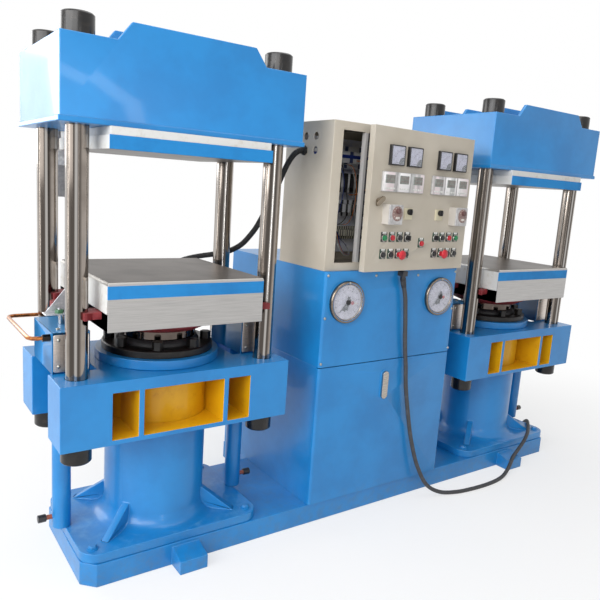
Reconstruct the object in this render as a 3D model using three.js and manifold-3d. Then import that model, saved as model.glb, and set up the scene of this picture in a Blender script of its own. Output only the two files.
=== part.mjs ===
// Twin-station rubber vulcanizing press: two four-pillar hydraulic presses and the cabinet between
// them on one base. Millimetres, +Z up, +X along the machine to the right, front towards -Y.
// The origin is on the floor, midway between the stations, in the plane through their pillars.
import * as THREE from 'three';
import { mergeVertices } from 'three/addons/utils/BufferGeometryUtils.js';
import Module from 'manifold-3d';

const wasm = await Module();
wasm.setup();

// Machine layout
const STATION_OFFSET = 876;
const PILLAR_X = 325;
const PILLAR_Y = 170;
const PILLAR_RADIUS = 32.5;
const NUT_WALL = 13.5;
const NUT_RADIUS = PILLAR_RADIUS + NUT_WALL;
const NUT_HEIGHT = 62;
const NUT_CHAMFER = 5;

// Heights of a station's layers, from the floor up
const BASE_TOP = 78;
const BEAM_CLEARANCE = 394;
const BEAM_HEIGHT = 203;
const TABLE_CLEARANCE = 110;
const TABLE_HEIGHT = 95;
const LOWER_PLATEN_HEIGHT = 96;
const DAYLIGHT = 375;
const UPPER_PLATEN_HEIGHT = 62;
const CROSSHEAD_HEIGHT = 230;
const HUMP_HEIGHT = 52;

// Levels above the floor that follow from the layers
const BEAM_BOTTOM = BASE_TOP + BEAM_CLEARANCE;
const BEAM_TOP = BEAM_BOTTOM + BEAM_HEIGHT;
const TABLE_BOTTOM = BEAM_TOP + TABLE_CLEARANCE;
const TABLE_TOP = TABLE_BOTTOM + TABLE_HEIGHT;
const LOWER_PLATEN_TOP = TABLE_TOP + LOWER_PLATEN_HEIGHT;
const UPPER_PLATEN_BOTTOM = LOWER_PLATEN_TOP + DAYLIGHT;
const CROSSHEAD_BOTTOM = UPPER_PLATEN_BOTTOM + UPPER_PLATEN_HEIGHT;
const CROSSHEAD_DECK = CROSSHEAD_BOTTOM + CROSSHEAD_HEIGHT;
const CROSSHEAD_PEAK = CROSSHEAD_DECK + HUMP_HEIGHT;

// Cylinder, ram and gland
const RAM_RADIUS = 125;
const CYLINDER_WALL = 49;
const CYLINDER_RADIUS = RAM_RADIUS + CYLINDER_WALL;
const CYLINDER_FLOOR = 42;
const FLANGE_INSET = 7;
const FLANGE_HALF_X = PILLAR_X - FLANGE_INSET;
const FLANGE_HALF_Y = 231;
const FLANGE_THICKNESS = 32;
const FLANGE_CORNER = 60;
const FLANGE_FILLET = 50;
const FILLET_STEPS = 3;
const GUSSET_HEIGHT = 86;
const GUSSET_REACH = 292;
const GUSSET_THICKNESS = 26;
const COLLAR_STEP = 36;
const COLLAR_RADIUS = CYLINDER_RADIUS + COLLAR_STEP;
const COLLAR_HEIGHT = 32;
const GLAND_WIDTH = 64;
const GLAND_RADIUS = RAM_RADIUS + GLAND_WIDTH;
const GLAND_HEIGHT = 25;
const GLAND_CHAMFER = 4;
const GLAND_BOLT_INSET = 39;
const GLAND_BOLT_CIRCLE = RAM_RADIUS + GLAND_BOLT_INSET;
const GLAND_BOLT_RADIUS = 19;
const GLAND_BOLT_HEIGHT = 28;
const GLAND_BOLT_COUNT = 8;
const RAM_CHAMFER = 6;

// Base, which reaches a little past the cylinder flanges
const BASE_MARGIN_X = 2;
const BASE_MARGIN_Y = 5;
const BASE_HALF_LENGTH = STATION_OFFSET + FLANGE_HALF_X + BASE_MARGIN_X;
const BASE_HALF_DEPTH = FLANGE_HALF_Y + BASE_MARGIN_Y;
const BASE_CORNER = 42;
const PAD_HALF_WIDTH = 50;
const PAD_REACH = 69;
const PAD_HEIGHT = 66;
const PAD_LIP = 46;
const PAD_CENTRE_SHIFT = 24;

// Lower beam: its ends reach past the pillars, its end notches give room to the side cylinders
const BEAM_OVERHANG_X = 67;
const BEAM_OVERHANG_Y = 76;
const BEAM_HALF_X = PILLAR_X + BEAM_OVERHANG_X;
const BEAM_HALF_Y = PILLAR_Y + BEAM_OVERHANG_Y;
const BEAM_NOTCH_ROOM = 25;
const BEAM_END_WALL = 6;
const BEAM_SEAT = 11;
const BEAM_TOP_PLATE = 38;
const BEAM_BOTTOM_PLATE = 16;
const BEAM_RIB_X = 147;
const BEAM_RIB = 18;

// Side cylinders
const SIDE_TUBE_RADIUS = 30;
const SIDE_BLOCK_HALF_X = 56;
const SIDE_BLOCK_HALF_Y = 116;
const SIDE_BLOCK_HEIGHT = 130;
const SIDE_BLOCK_TOP = BEAM_TOP + SIDE_BLOCK_HEIGHT;
const SIDE_ROD_RADIUS = 9;
const SIDE_BORE_RADIUS = 20;
const SIDE_NECK_DEPTH = 60;
const COCK_RADIUS = 8;
const COCK_KNOB_RADIUS = 13;
const COCK_REACH = 46;
const COCK_HEIGHT = 75;
const PIPE_RADIUS = 7;
const PIPE_NUT_RADIUS = 12;
const PIPE_DROP = 19;
const PIPE_FRONT = 94;
const PIPE_CLEARANCE = 37.5;
const PIPE_REACH = 116;
const PIPE_BEND = 26;
const PIPE_RINGS = 36;

// Platens
const PLATEN_CLEARANCE = 32.5;
const UPPER_PLATEN_STEP = 5;
const LOWER_PLATEN_HALF_X = PILLAR_X - PILLAR_RADIUS - PLATEN_CLEARANCE;
const LOWER_PLATEN_HALF_Y = 256;
const UPPER_PLATEN_HALF = LOWER_PLATEN_HALF_X + UPPER_PLATEN_STEP;
const UPPER_STEEL = 39;
const LOWER_STEEL = 50;
const INSULATION_STEP = 5;
const HEATER_RADIUS = 9;
const HEATER_COUNT = 6;
const HEATER_REACH = 18;
const GUARD_THICKNESS = 2;
const GUARD_HANG = 52;
const GUARD_DROP = 5;

// Moving table
const TABLE_PLATE = 22;
const EAR_WALL = 17.5;
const EAR_RADIUS = PILLAR_RADIUS + EAR_WALL;
const EAR_NECK = 34;
const FORK_SETBACK = 8;
const TABLE_CORE_RADIUS = 190;
const CORE_FOOT_STEP = 23;
const CORE_FOOT_RADIUS = RAM_RADIUS + CORE_FOOT_STEP;
const TABLE_RIB = 30;
const RIB_TIP = 5;

// Crosshead
const CROSSHEAD_OVERHANG_X = 66.5;
const CROSSHEAD_OVERHANG_Y = 74.5;
const CROSSHEAD_HALF_X = PILLAR_X + CROSSHEAD_OVERHANG_X;
const CROSSHEAD_HALF_Y = PILLAR_Y + CROSSHEAD_OVERHANG_Y;
const CROSSHEAD_LIP = 5;
const CROSSHEAD_LIP_HEIGHT = 15;
const HUMP_FOOT = 237;
const HUMP_TOP = 197;
const WEB_THICKNESS = 16;
const INNER_WEB_FACE = 100;

// Cabinet
const CABINET_HALF_WIDTH = 349;
const CABINET_CORNER = 12;
const CASING_WALL = 4;
const HOUSING_FRONT = 247;
const HOUSING_BACK = 445;
const HOUSING_HEIGHT = 551;
const SHROUD_HEIGHT = 360;
const PANEL_HEIGHT = 530;
const HOUSING_SEAM = BASE_TOP + HOUSING_HEIGHT;
const SHROUD_TOP = HOUSING_SEAM + SHROUD_HEIGHT;
const PANEL_TOP = SHROUD_TOP + PANEL_HEIGHT;
const COVER_THICKNESS = 15;
const COVER_REVEAL = 3;
const PANEL_SETBACK = 13;
const PANEL_FRONT = HOUSING_FRONT - PANEL_SETBACK;
const PANEL_BACK = 62;
const PANEL_WALL = 3;
const OPENING_LEFT_MARGIN = 44;
const OPENING_RIGHT_MARGIN = 11;
const OPENING_LEFT = CABINET_HALF_WIDTH - OPENING_LEFT_MARGIN;
const OPENING_RIGHT = CABINET_HALF_WIDTH - OPENING_RIGHT_MARGIN;
const OPENING_MARGIN = 30;
const POST_WIDTH = 18;
const POST_DEPTH = 20;
const POST_SETBACK = 26;

// Switchgear on its mounting plate; each row's height share is its place up the plate
const PLATE_GAP = 12;
const PLATE_MARGIN = 36;
const PLATE_THICKNESS = 3;
const STANDOFF_RADIUS = 9;
const BREAKER_ROW = { share: 0.84, depth: 70, height: 88, units: 8 };
const CONTACTOR_ROW = { share: 0.62, depth: 84, height: 76, units: 6 };
const RELAY_ROW = { share: 0.4, depth: 62, height: 66, units: 7 };
const TERMINAL_ROW = { share: 0.18, depth: 44, height: 52, units: 8 };
const UNIT_SHARE = 0.9;
const NOSE_SHARE = 0.5;

// Instrument door, which stands ajar
const DOOR_AJAR_DEG = 4;
const DOOR_SLOT = 128;
const DOOR_WIDTH = 2 * CABINET_HALF_WIDTH - DOOR_SLOT;
const DOOR_FOOT_GAP = 3;
const DOOR_HEAD_GAP = 5;
const DOOR_BOTTOM = SHROUD_TOP + DOOR_FOOT_GAP;
const DOOR_TOP = PANEL_TOP - DOOR_HEAD_GAP;
const DOOR_DEPTH = 26;
const DOOR_WALL = 3;
const DOOR_GAP = 1;
const HINGE_RADIUS = 5;
const HINGE_PIN_RADIUS = 2.5;
const HINGE_KNUCKLE = 30;
const HINGE_INSET = 75;
const HINGE_LEAF = 2.5;

// Instruments and controls on the door; a height share is a row's place up the door, an offset
// share a place sideways from the cluster's centre, as part of the door's width
const CLUSTER_SHIFT = 13;
const CLUSTER_CENTRE = DOOR_WIDTH / 2 - CLUSTER_SHIFT;
const INSTRUMENT_SIZE = 72;
const METER_OFFSET_SHARES = [-0.3228, -0.1526, 0.1526, 0.3228];
const METER_HEIGHT_SHARE = 0.8142;
const METER_PROUD = 12;
const METER_BODY = 52;
const CONTROLLER_OFFSET_SHARES = [-0.3719, -0.2404, -0.1088, 0.1088, 0.2404, 0.3719];
const CONTROLLER_HEIGHT_SHARE = 0.6322;
const CONTROLLER_PROUD = 6;
const CONTROLLER_BODY = 80;
const TIMER_HEIGHT_SHARE = 0.408;
const TIMER_PROUD = 34;
const TIMER_BODY = 30;
const BODY_STEP = 3;
const SWITCH_OFFSET_SHARE = 0.1579;
const SWITCH_PLATE = 42;
const SWITCH_HEIGHT_SHARE = 0.4138;
const SWITCH_KNOB_RADIUS = 11;
const SWITCH_KNOB_HEIGHT = 11;
const SWITCH_KNOB_RISE = 8;
const SWITCH_RIDGE = 2.2;
const SWITCH_RIDGE_PROUD = 5.5;
const BUTTON_PITCH_SHARE = 0.07368;
const BUTTON_FIRST_SHARE = 0.14561;
const BUTTON_ROW_SHARES = [0.2414, 0.1207];
const STOP_HEIGHT_SHARE = 0.1992;
const BUTTON_RADIUS = 10;
const BUTTON_PROUD = 10;
const BUTTON_TRAVEL = 4;
const SELECTOR_RADIUS = 9.2;
const SELECTOR_WING = 3.3;
const BEZEL_RADIUS = 14;
const BEZEL_PROUD = 5;
const CONTACT_BLOCK = 34;
const CONTACT_BLOCK_DEPTH = 42;
const MUSHROOM_RADIUS = 19;
const MUSHROOM_PROUD = 32;
const MUSHROOM_PROFILE_SHARES = [[0, 0], [0.8, 0], [1, 0.25], [0.85, 0.5], [0.5, 0.66], [0, 0.7]];
const MUSHROOM_NECK = 21;
const LOCK_INSET = 42;
const LOCK_ROOM = 28;
const TIMER_OFFSET = DOOR_WIDTH - CLUSTER_CENTRE - LOCK_INSET - LOCK_ROOM - INSTRUMENT_SIZE / 2;
const LOCK_HEIGHT_SHARE = 0.4962;
const LOCK_HALF_LENGTH = 24;
const LOCK_HALF_WIDTH = 9;
const LOCK_HUB_RADIUS = 11;
const LOCK_THICKNESS = 9;
const LOCK_TILT_DEG = 39;

// Gauges and cover latch
const GAUGE_INSET = 104;
const GAUGE_OFFSET = CABINET_HALF_WIDTH - GAUGE_INSET;
const GAUGE_DROP = 115;
const GAUGE_HEIGHT = SHROUD_TOP - GAUGE_DROP;
const GAUGE_RADIUS = 79;
const GAUGE_PROUD = 16;
const GAUGE_BEZEL = 9;
const GAUGE_RECESS = 9;
const GAUGE_PIVOT_RADIUS = 4;
const NEEDLE_LENGTH = 52;
const NEEDLE_TAIL = 16;
const NEEDLE_HALF_WIDTH = 4;
const NEEDLE_TIP = 1;
const NEEDLE_HUB_RADIUS = 8;
const NEEDLE_THICKNESS = 1.6;
const NEEDLE_ZERO_DEG = 225;
const LATCH_CENTRE_X = -16;
const LATCH_DROP = 104;
const LATCH_CENTRE_Z = HOUSING_SEAM - LATCH_DROP;
const LATCH_HALF_LENGTH = 57;
const LATCH_HALF_WIDTH = 15;
const LATCH_PLATE = 4;
const LATCH_MARGIN = 4;
const LATCH_THICKNESS = 8;

// Cable elbow under the door
const ELBOW_X = 16;
const ELBOW_HALF = 12;
const ELBOW_REACH = 32;
const ELBOW_HEIGHT = 20;
const ELBOW_TOP_GAP = 2;
const CABLE_NUT_RADIUS = 11;
const CABLE_NUT_HEIGHT = 10;

// Cords
const CABLE_RADIUS = 8.5;
const CABLE_LEAD = 26;
const CABLE_RINGS = 72;
const CONDUIT_RADIUS = 11;
const CONDUIT_BORE_RADIUS = 8;
const CONDUIT_RIB_DEPTH = 1.6;
const CONDUIT_RIBS = 90;
const CONDUIT_SEAT_X = 198;
const CONDUIT_SIDES = 8;
const CONDUIT_BORE_STEP = 10;
const ENTRY_DROPS = [104, 53];
const ENTRY_ROWS = ENTRY_DROPS.map((drop) => PANEL_TOP - drop);
const ENTRY_COLUMNS = [-68, -130];
const ENTRY_RADIUS = 14;
const ENTRY_NUT_RADIUS = 18;
const COIL_TURNS = 3.5;
const COIL_INNER_RADIUS = 84;
const COIL_SPACING = 0.9;
const COIL_STEPS_PER_TURN = 24;
const COIL_CLIMB_TURNS = 0.5;
const COIL_CENTRE_X = 1000;
const COIL_CENTRE_Y = 430;

// Clearances and cutting allowances
const FIT_GAP = 0.3;
const GUIDE_GAP = 0.6;
const OVERRUN = 5;

// Facets around round pieces
const ROUND_SIDES = 18;
const LARGE_SIDES = 30;
const SMALL_SIDES = 10;
const HEX_SIDES = 6;
const GAUGE_SIDES = 24;

// Closed triangle mesh to solid; triangles that collapse at a pole are dropped
function solid(geometry) {
  const bare = geometry.clone();
  bare.deleteAttribute('normal');
  bare.deleteAttribute('uv');
  const merged = mergeVertices(bare);
  const position = merged.attributes.position.array;
  const corners = [];
  let volume = 0;
  for (let i = 0; i < merged.index.count; i += 3) {
    const [a, b, c] = [0, 1, 2].map((k) => merged.index.getX(i + k));
    if (a === b || b === c || c === a) continue;
    corners.push(a, b, c);
    const [p, q, r] = [a, b, c].map((k) => new THREE.Vector3().fromArray(position, 3 * k));
    volume += p.dot(q.cross(r));
  }
  if (volume < 0) corners.reverse();
  return new wasm.Manifold(new wasm.Mesh({
    numProp: 3,
    vertProperties: new Float32Array(position),
    triVerts: new Uint32Array(corners),
  }));
}

// Solid back to a three.js geometry
function surface(body) {
  const mesh = body.getMesh();
  const geometry = new THREE.BufferGeometry();
  geometry.setAttribute('position', new THREE.BufferAttribute(mesh.vertProperties, 3));
  geometry.setIndex(new THREE.BufferAttribute(mesh.triVerts, 1));
  geometry.computeVertexNormals();
  return geometry;
}

const join = (first, ...others) => others.reduce((body, other) => body.add(other), first);
const cut = (first, ...tools) => tools.reduce((body, tool) => body.subtract(tool), first);

// Rectangular block between two corners
function block(x0, x1, y0, y1, z0, z1) {
  const geometry = new THREE.BoxGeometry(x1 - x0, y1 - y0, z1 - z0);
  geometry.translate((x0 + x1) / 2, (y0 + y1) / 2, (z0 + z1) / 2);
  return solid(geometry);
}

// Upright round bar at x, y
function drum(radius, z0, z1, sides = ROUND_SIDES, x = 0, y = 0) {
  const geometry = new THREE.CylinderGeometry(radius, radius, z1 - z0, sides);
  geometry.rotateX(Math.PI / 2);
  geometry.translate(x, y, (z0 + z1) / 2);
  return solid(geometry);
}

// Round bar along X at y, z
function barX(radius, x0, x1, y, z, sides = SMALL_SIDES) {
  const geometry = new THREE.CylinderGeometry(radius, radius, x1 - x0, sides);
  geometry.rotateZ(Math.PI / 2);
  geometry.translate((x0 + x1) / 2, y, z);
  return solid(geometry);
}

// Round bar along Y at x, z
function barY(radius, y0, y1, x, z, sides = SMALL_SIDES) {
  const geometry = new THREE.CylinderGeometry(radius, radius, y1 - y0, sides);
  geometry.translate(x, (y0 + y1) / 2, z);
  return solid(geometry);
}

// Profile of [radius, height] pairs turned about Z
function turned(profile, sides = ROUND_SIDES) {
  const points = profile.map(([radius, height]) => new THREE.Vector2(radius, height));
  const geometry = new THREE.LatheGeometry(points, sides);
  geometry.rotateX(Math.PI / 2);
  return solid(geometry);
}

// Outline in XY raised along Z
function prism(shape, z0, z1, curveSegments = 4) {
  const geometry = new THREE.ExtrudeGeometry(shape, {
    depth: z1 - z0,
    bevelEnabled: false,
    curveSegments,
  });
  geometry.translate(0, 0, z0);
  return solid(geometry);
}

// Outline in XZ carried along Y
function prismY(shape, y0, y1, curveSegments = 4) {
  const geometry = new THREE.ExtrudeGeometry(shape, {
    depth: y1 - y0,
    bevelEnabled: false,
    curveSegments,
  });
  geometry.rotateX(Math.PI / 2);
  geometry.translate(0, y1, 0);
  return solid(geometry);
}

function outline(points) {
  return new THREE.Shape(points.map(([x, y]) => new THREE.Vector2(x, y)));
}

// Rectangle with corners cut at 45 degrees
function chamferedOutline(halfX, halfY, corner) {
  return outline([
    [-halfX + corner, -halfY], [halfX - corner, -halfY],
    [halfX, -halfY + corner], [halfX, halfY - corner],
    [halfX - corner, halfY], [-halfX + corner, halfY],
    [-halfX, halfY - corner], [-halfX, -halfY + corner],
  ]);
}

// Rectangle with round corners; a corner radius of zero leaves that end square
function roundedOutline(x0, x1, y0, y1, frontRadius, backRadius = frontRadius) {
  const shape = new THREE.Shape();
  shape.moveTo(x0 + frontRadius, y0);
  shape.lineTo(x1 - frontRadius, y0);
  if (frontRadius > 0) shape.absarc(x1 - frontRadius, y0 + frontRadius, frontRadius, -Math.PI / 2, 0);
  shape.lineTo(x1, y1 - backRadius);
  if (backRadius > 0) shape.absarc(x1 - backRadius, y1 - backRadius, backRadius, 0, Math.PI / 2);
  shape.lineTo(x0 + backRadius, y1);
  if (backRadius > 0) {
    shape.absarc(x0 + backRadius, y1 - backRadius, backRadius, Math.PI / 2, Math.PI);
  }
  shape.lineTo(x0, y0 + frontRadius);
  if (frontRadius > 0) {
    shape.absarc(x0 + frontRadius, y0 + frontRadius, frontRadius, Math.PI, 1.5 * Math.PI);
  }
  return shape;
}

// The four pillar positions of a station, as [sideX, sideY]
const CORNERS = [[-1, -1], [1, -1], [-1, 1], [1, 1]];

// Bores on the four pillars
function pillarBores(gap, z0, z1) {
  return CORNERS.map(([sideX, sideY]) => drum(
    PILLAR_RADIUS + gap, z0, z1, ROUND_SIDES, sideX * PILLAR_X, sideY * PILLAR_Y,
  ));
}

// Materials
const paint = (color, roughness, metalness) => () => new THREE.MeshStandardMaterial({
  color, roughness, metalness,
});
const bluePaint = paint(0x2f8ad6, 0.4, 0.1);
const beigePaint = paint(0xb9ab98, 0.5, 0.05);
const redPaint = paint(0x83282d, 0.55, 0.05);
const chromePlate = paint(0xc9c9c9, 0.15, 1);
const blackSteel = paint(0x1b1a1a, 0.45, 0.6);
const brushedSteel = paint(0xb4aea6, 0.4, 0.9);
const blackRubber = paint(0x1a1a1b, 0.75, 0);
const greyRubber = paint(0x55504d, 0.7, 0);
const redPlastic = paint(0xc22531, 0.35, 0);
const greenPlastic = paint(0x1d8a52, 0.35, 0);
const blackPlastic = paint(0x171717, 0.4, 0);

const press = new THREE.Group();

// Named mesh with its own material, added to a parent group
function addPiece(parent, name, body, material, place = [0, 0, 0]) {
  const mesh = new THREE.Mesh(surface(body), material());
  mesh.name = name;
  mesh.position.set(...place);
  parent.add(mesh);
  return mesh;
}

// Foot pad: wedge that slopes away from the skid, built towards -Y
function footPad() {
  const profile = outline([
    [BASE_HALF_DEPTH - OVERRUN, 0], [BASE_HALF_DEPTH + PAD_REACH, 0],
    [BASE_HALF_DEPTH + PAD_REACH, PAD_LIP], [BASE_HALF_DEPTH, PAD_HEIGHT],
    [BASE_HALF_DEPTH - OVERRUN, PAD_HEIGHT],
  ]);
  const wedge = prismY(profile, -PAD_HALF_WIDTH, PAD_HALF_WIDTH);
  return wedge.rotate([0, 0, -90]);
}

// Base: one long welded skid that widens behind the cabinet, with wedge-shaped foot pads
function baseFrame() {
  const skid = prism(chamferedOutline(BASE_HALF_LENGTH, BASE_HALF_DEPTH, BASE_CORNER), 0, BASE_TOP);
  const tankSole = block(
    -CABINET_HALF_WIDTH, CABINET_HALF_WIDTH, 0, HOUSING_BACK, 0, BASE_TOP,
  );
  const pads = CORNERS.map(([sideX, sideY]) => {
    const pad = sideY < 0 ? footPad() : footPad().rotate([0, 0, 180]);
    return pad.translate([sideX * (STATION_OFFSET - PAD_CENTRE_SHIFT), 0, 0]);
  });
  return join(skid, tankSole, ...pads);
}

// Main cylinder: foot flange, flared root, wall, seat collar and four gussets, bored for the ram
function mainCylinder() {
  const flangeTop = BASE_TOP + FLANGE_THICKNESS;
  const collarTop = BEAM_TOP + COLLAR_HEIGHT;
  const flange = prism(
    roundedOutline(-FLANGE_HALF_X, FLANGE_HALF_X, -FLANGE_HALF_Y, FLANGE_HALF_Y, FLANGE_CORNER),
    BASE_TOP, flangeTop,
  );
  const fillet = Array.from({ length: FILLET_STEPS + 1 }, (_, step) => {
    const angle = (step / FILLET_STEPS) * (Math.PI / 2);
    return [
      CYLINDER_RADIUS + FLANGE_FILLET * (1 - Math.sin(angle)),
      flangeTop + FLANGE_FILLET * (1 - Math.cos(angle)),
    ];
  });
  const wall = turned([
    [0, BASE_TOP],
    [CYLINDER_RADIUS + FLANGE_FILLET, BASE_TOP],
    ...fillet,
    [CYLINDER_RADIUS, BEAM_TOP + FIT_GAP],
    [COLLAR_RADIUS, BEAM_TOP + FIT_GAP],
    [COLLAR_RADIUS, collarTop],
    [0, collarTop],
  ], LARGE_SIDES);
  const angle = Math.atan2(FLANGE_HALF_Y, FLANGE_HALF_X);
  const gussets = CORNERS.map(([sideX, sideY]) => {
    const rib = outline([
      [CYLINDER_RADIUS - OVERRUN, flangeTop - OVERRUN],
      [GUSSET_REACH, flangeTop - OVERRUN],
      [GUSSET_REACH, flangeTop + FIT_GAP],
      [CYLINDER_RADIUS - OVERRUN, flangeTop + GUSSET_HEIGHT],
    ]);
    const geometry = new THREE.ExtrudeGeometry(rib, { depth: GUSSET_THICKNESS, bevelEnabled: false });
    geometry.rotateX(Math.PI / 2);
    geometry.translate(0, GUSSET_THICKNESS / 2, 0);
    geometry.rotateZ(sideX > 0 ? sideY * angle : Math.PI - sideY * angle);
    return solid(geometry);
  });
  const bore = drum(
    RAM_RADIUS + GUIDE_GAP, BASE_TOP + CYLINDER_FLOOR, collarTop + OVERRUN, LARGE_SIDES,
  );
  return cut(join(flange, wall, ...gussets), bore);
}

// Gland ring: bolted retainer round the ram with a ring of hexagon screws
function glandRing() {
  const bottom = BEAM_TOP + COLLAR_HEIGHT + FIT_GAP;
  const top = bottom + GLAND_HEIGHT;
  const ring = turned([
    [RAM_RADIUS + GUIDE_GAP, bottom],
    [GLAND_RADIUS, bottom],
    [GLAND_RADIUS, top - GLAND_CHAMFER],
    [GLAND_RADIUS - GLAND_CHAMFER, top],
    [RAM_RADIUS + GUIDE_GAP, top],
    [RAM_RADIUS + GUIDE_GAP, bottom],
  ], LARGE_SIDES);
  const screws = Array.from({ length: GLAND_BOLT_COUNT }, (_, index) => {
    const angle = ((index + 0.5) / GLAND_BOLT_COUNT) * 2 * Math.PI;
    const x = GLAND_BOLT_CIRCLE * Math.cos(angle);
    const y = GLAND_BOLT_CIRCLE * Math.sin(angle);
    return drum(
      GLAND_BOLT_RADIUS, top - GLAND_CHAMFER, top + GLAND_BOLT_HEIGHT, HEX_SIDES, x, y,
    );
  });
  return join(ring, ...screws);
}

// Ram: plunger from the cylinder floor up to the moving table
function ram() {
  const bottom = BASE_TOP + CYLINDER_FLOOR + FIT_GAP;
  return turned([
    [0, bottom],
    [RAM_RADIUS - RAM_CHAMFER, bottom],
    [RAM_RADIUS, bottom + RAM_CHAMFER],
    [RAM_RADIUS, TABLE_BOTTOM - FIT_GAP],
    [0, TABLE_BOTTOM - FIT_GAP],
  ], LARGE_SIDES);
}

// Lower beam: four pillar arms round an open box whose windows show the cylinder
function lowerBeam() {
  const notchRoot = PILLAR_X - SIDE_BLOCK_HALF_X - BEAM_NOTCH_ROOM;
  const notchHalf = SIDE_BLOCK_HALF_Y - BEAM_SEAT;
  const body = block(-BEAM_HALF_X, BEAM_HALF_X, -BEAM_HALF_Y, BEAM_HALF_Y, BEAM_BOTTOM, BEAM_TOP);
  const notches = [-1, 1].map((side) => {
    const outer = side * (BEAM_HALF_X + OVERRUN);
    const inner = side * notchRoot;
    return block(
      Math.min(outer, inner), Math.max(outer, inner), -notchHalf, notchHalf,
      BEAM_BOTTOM - OVERRUN, BEAM_TOP + OVERRUN,
    );
  });
  const windowBottom = BEAM_BOTTOM + BEAM_BOTTOM_PLATE;
  const windowTop = BEAM_TOP - BEAM_TOP_PLATE;
  const ribEdges = [BEAM_RIB_X - BEAM_RIB / 2, BEAM_RIB_X + BEAM_RIB / 2];
  const wallX = notchRoot - BEAM_END_WALL;
  const windows = [
    [-wallX, -ribEdges[1]],
    [-ribEdges[0], ribEdges[0]],
    [ribEdges[1], wallX],
  ].map(([x0, x1]) => block(
    x0, x1, -BEAM_HALF_Y - OVERRUN, BEAM_HALF_Y + OVERRUN, windowBottom, windowTop,
  ));
  const bore = drum(
    CYLINDER_RADIUS + FIT_GAP, BEAM_BOTTOM - OVERRUN, BEAM_TOP + OVERRUN, LARGE_SIDES,
  );
  const holes = pillarBores(FIT_GAP, BEAM_BOTTOM - OVERRUN, BEAM_TOP + OVERRUN);
  return cut(body, ...notches, ...windows, bore, ...holes);
}

// Crosshead: closed box with a base lip, under four webs that rise to a hump in the middle
function crosshead() {
  const lip = block(
    -CROSSHEAD_HALF_X - CROSSHEAD_LIP, CROSSHEAD_HALF_X + CROSSHEAD_LIP,
    -CROSSHEAD_HALF_Y - CROSSHEAD_LIP, CROSSHEAD_HALF_Y + CROSSHEAD_LIP,
    CROSSHEAD_BOTTOM, CROSSHEAD_BOTTOM + CROSSHEAD_LIP_HEIGHT,
  );
  const box = block(
    -CROSSHEAD_HALF_X, CROSSHEAD_HALF_X, -CROSSHEAD_HALF_Y, CROSSHEAD_HALF_Y,
    CROSSHEAD_BOTTOM, CROSSHEAD_DECK,
  );
  const hump = outline([
    [-HUMP_FOOT, CROSSHEAD_DECK - OVERRUN], [HUMP_FOOT, CROSSHEAD_DECK - OVERRUN],
    [HUMP_FOOT, CROSSHEAD_DECK], [HUMP_TOP, CROSSHEAD_PEAK],
    [-HUMP_TOP, CROSSHEAD_PEAK], [-HUMP_FOOT, CROSSHEAD_DECK],
  ]);
  const webs = [
    -CROSSHEAD_HALF_Y, -INNER_WEB_FACE,
    INNER_WEB_FACE - WEB_THICKNESS, CROSSHEAD_HALF_Y - WEB_THICKNESS,
  ].map((y) => prismY(hump, y, y + WEB_THICKNESS));
  const holes = pillarBores(FIT_GAP, CROSSHEAD_BOTTOM - OVERRUN, CROSSHEAD_DECK + OVERRUN);
  return cut(join(lip, box, ...webs), ...holes);
}

// Heater tails along the back of a platen
function heaterTails(halfX, halfY, z) {
  return Array.from({ length: HEATER_COUNT }, (_, index) => {
    const x = (-1 + (2 * index + 1) / HEATER_COUNT) * halfX;
    return barY(HEATER_RADIUS, halfY - OVERRUN, halfY + HEATER_REACH, x, z, HEX_SIDES);
  });
}

// Upper platen: steel heating plate under its insulation board
function upperPlaten() {
  const steelTop = UPPER_PLATEN_BOTTOM + UPPER_STEEL;
  const inset = UPPER_PLATEN_HALF - INSULATION_STEP;
  const steel = block(
    -UPPER_PLATEN_HALF, UPPER_PLATEN_HALF, -UPPER_PLATEN_HALF, UPPER_PLATEN_HALF,
    UPPER_PLATEN_BOTTOM, steelTop,
  );
  const board = block(-inset, inset, -inset, inset, steelTop, CROSSHEAD_BOTTOM);
  const middle = UPPER_PLATEN_BOTTOM + UPPER_STEEL / 2;
  return join(steel, board, ...heaterTails(UPPER_PLATEN_HALF, UPPER_PLATEN_HALF, middle));
}

// Lower platen: steel heating plate on its insulation board, with guard sheets all round;
// the front and back sheets hang down past the moving table
function lowerPlaten() {
  const steelBottom = LOWER_PLATEN_TOP - LOWER_STEEL;
  const guardTop = LOWER_PLATEN_TOP - GUARD_DROP;
  const insetX = LOWER_PLATEN_HALF_X - INSULATION_STEP;
  const insetY = LOWER_PLATEN_HALF_Y - INSULATION_STEP;
  const faceX = LOWER_PLATEN_HALF_X + GUARD_THICKNESS;
  const faceY = LOWER_PLATEN_HALF_Y + GUARD_THICKNESS;
  const steel = block(
    -LOWER_PLATEN_HALF_X, LOWER_PLATEN_HALF_X, -LOWER_PLATEN_HALF_Y, LOWER_PLATEN_HALF_Y,
    steelBottom, LOWER_PLATEN_TOP,
  );
  const jacket = cut(
    block(-faceX, faceX, -faceY, faceY, TABLE_TOP + FIT_GAP, guardTop),
    block(-insetX, insetX, -insetY, insetY, TABLE_TOP, guardTop + OVERRUN),
  );
  const board = block(
    -insetX - FIT_GAP, insetX + FIT_GAP, -insetY - FIT_GAP, insetY + FIT_GAP, TABLE_TOP, steelBottom,
  );
  const skirts = [-faceY, LOWER_PLATEN_HALF_Y].map((y) => (
    block(-faceX, faceX, y, y + GUARD_THICKNESS, TABLE_TOP - GUARD_HANG, guardTop)
  ));
  const tails = heaterTails(LOWER_PLATEN_HALF_X, faceY, steelBottom + LOWER_STEEL / 2);
  return join(steel, board, jacket, ...skirts, ...tails);
}

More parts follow.
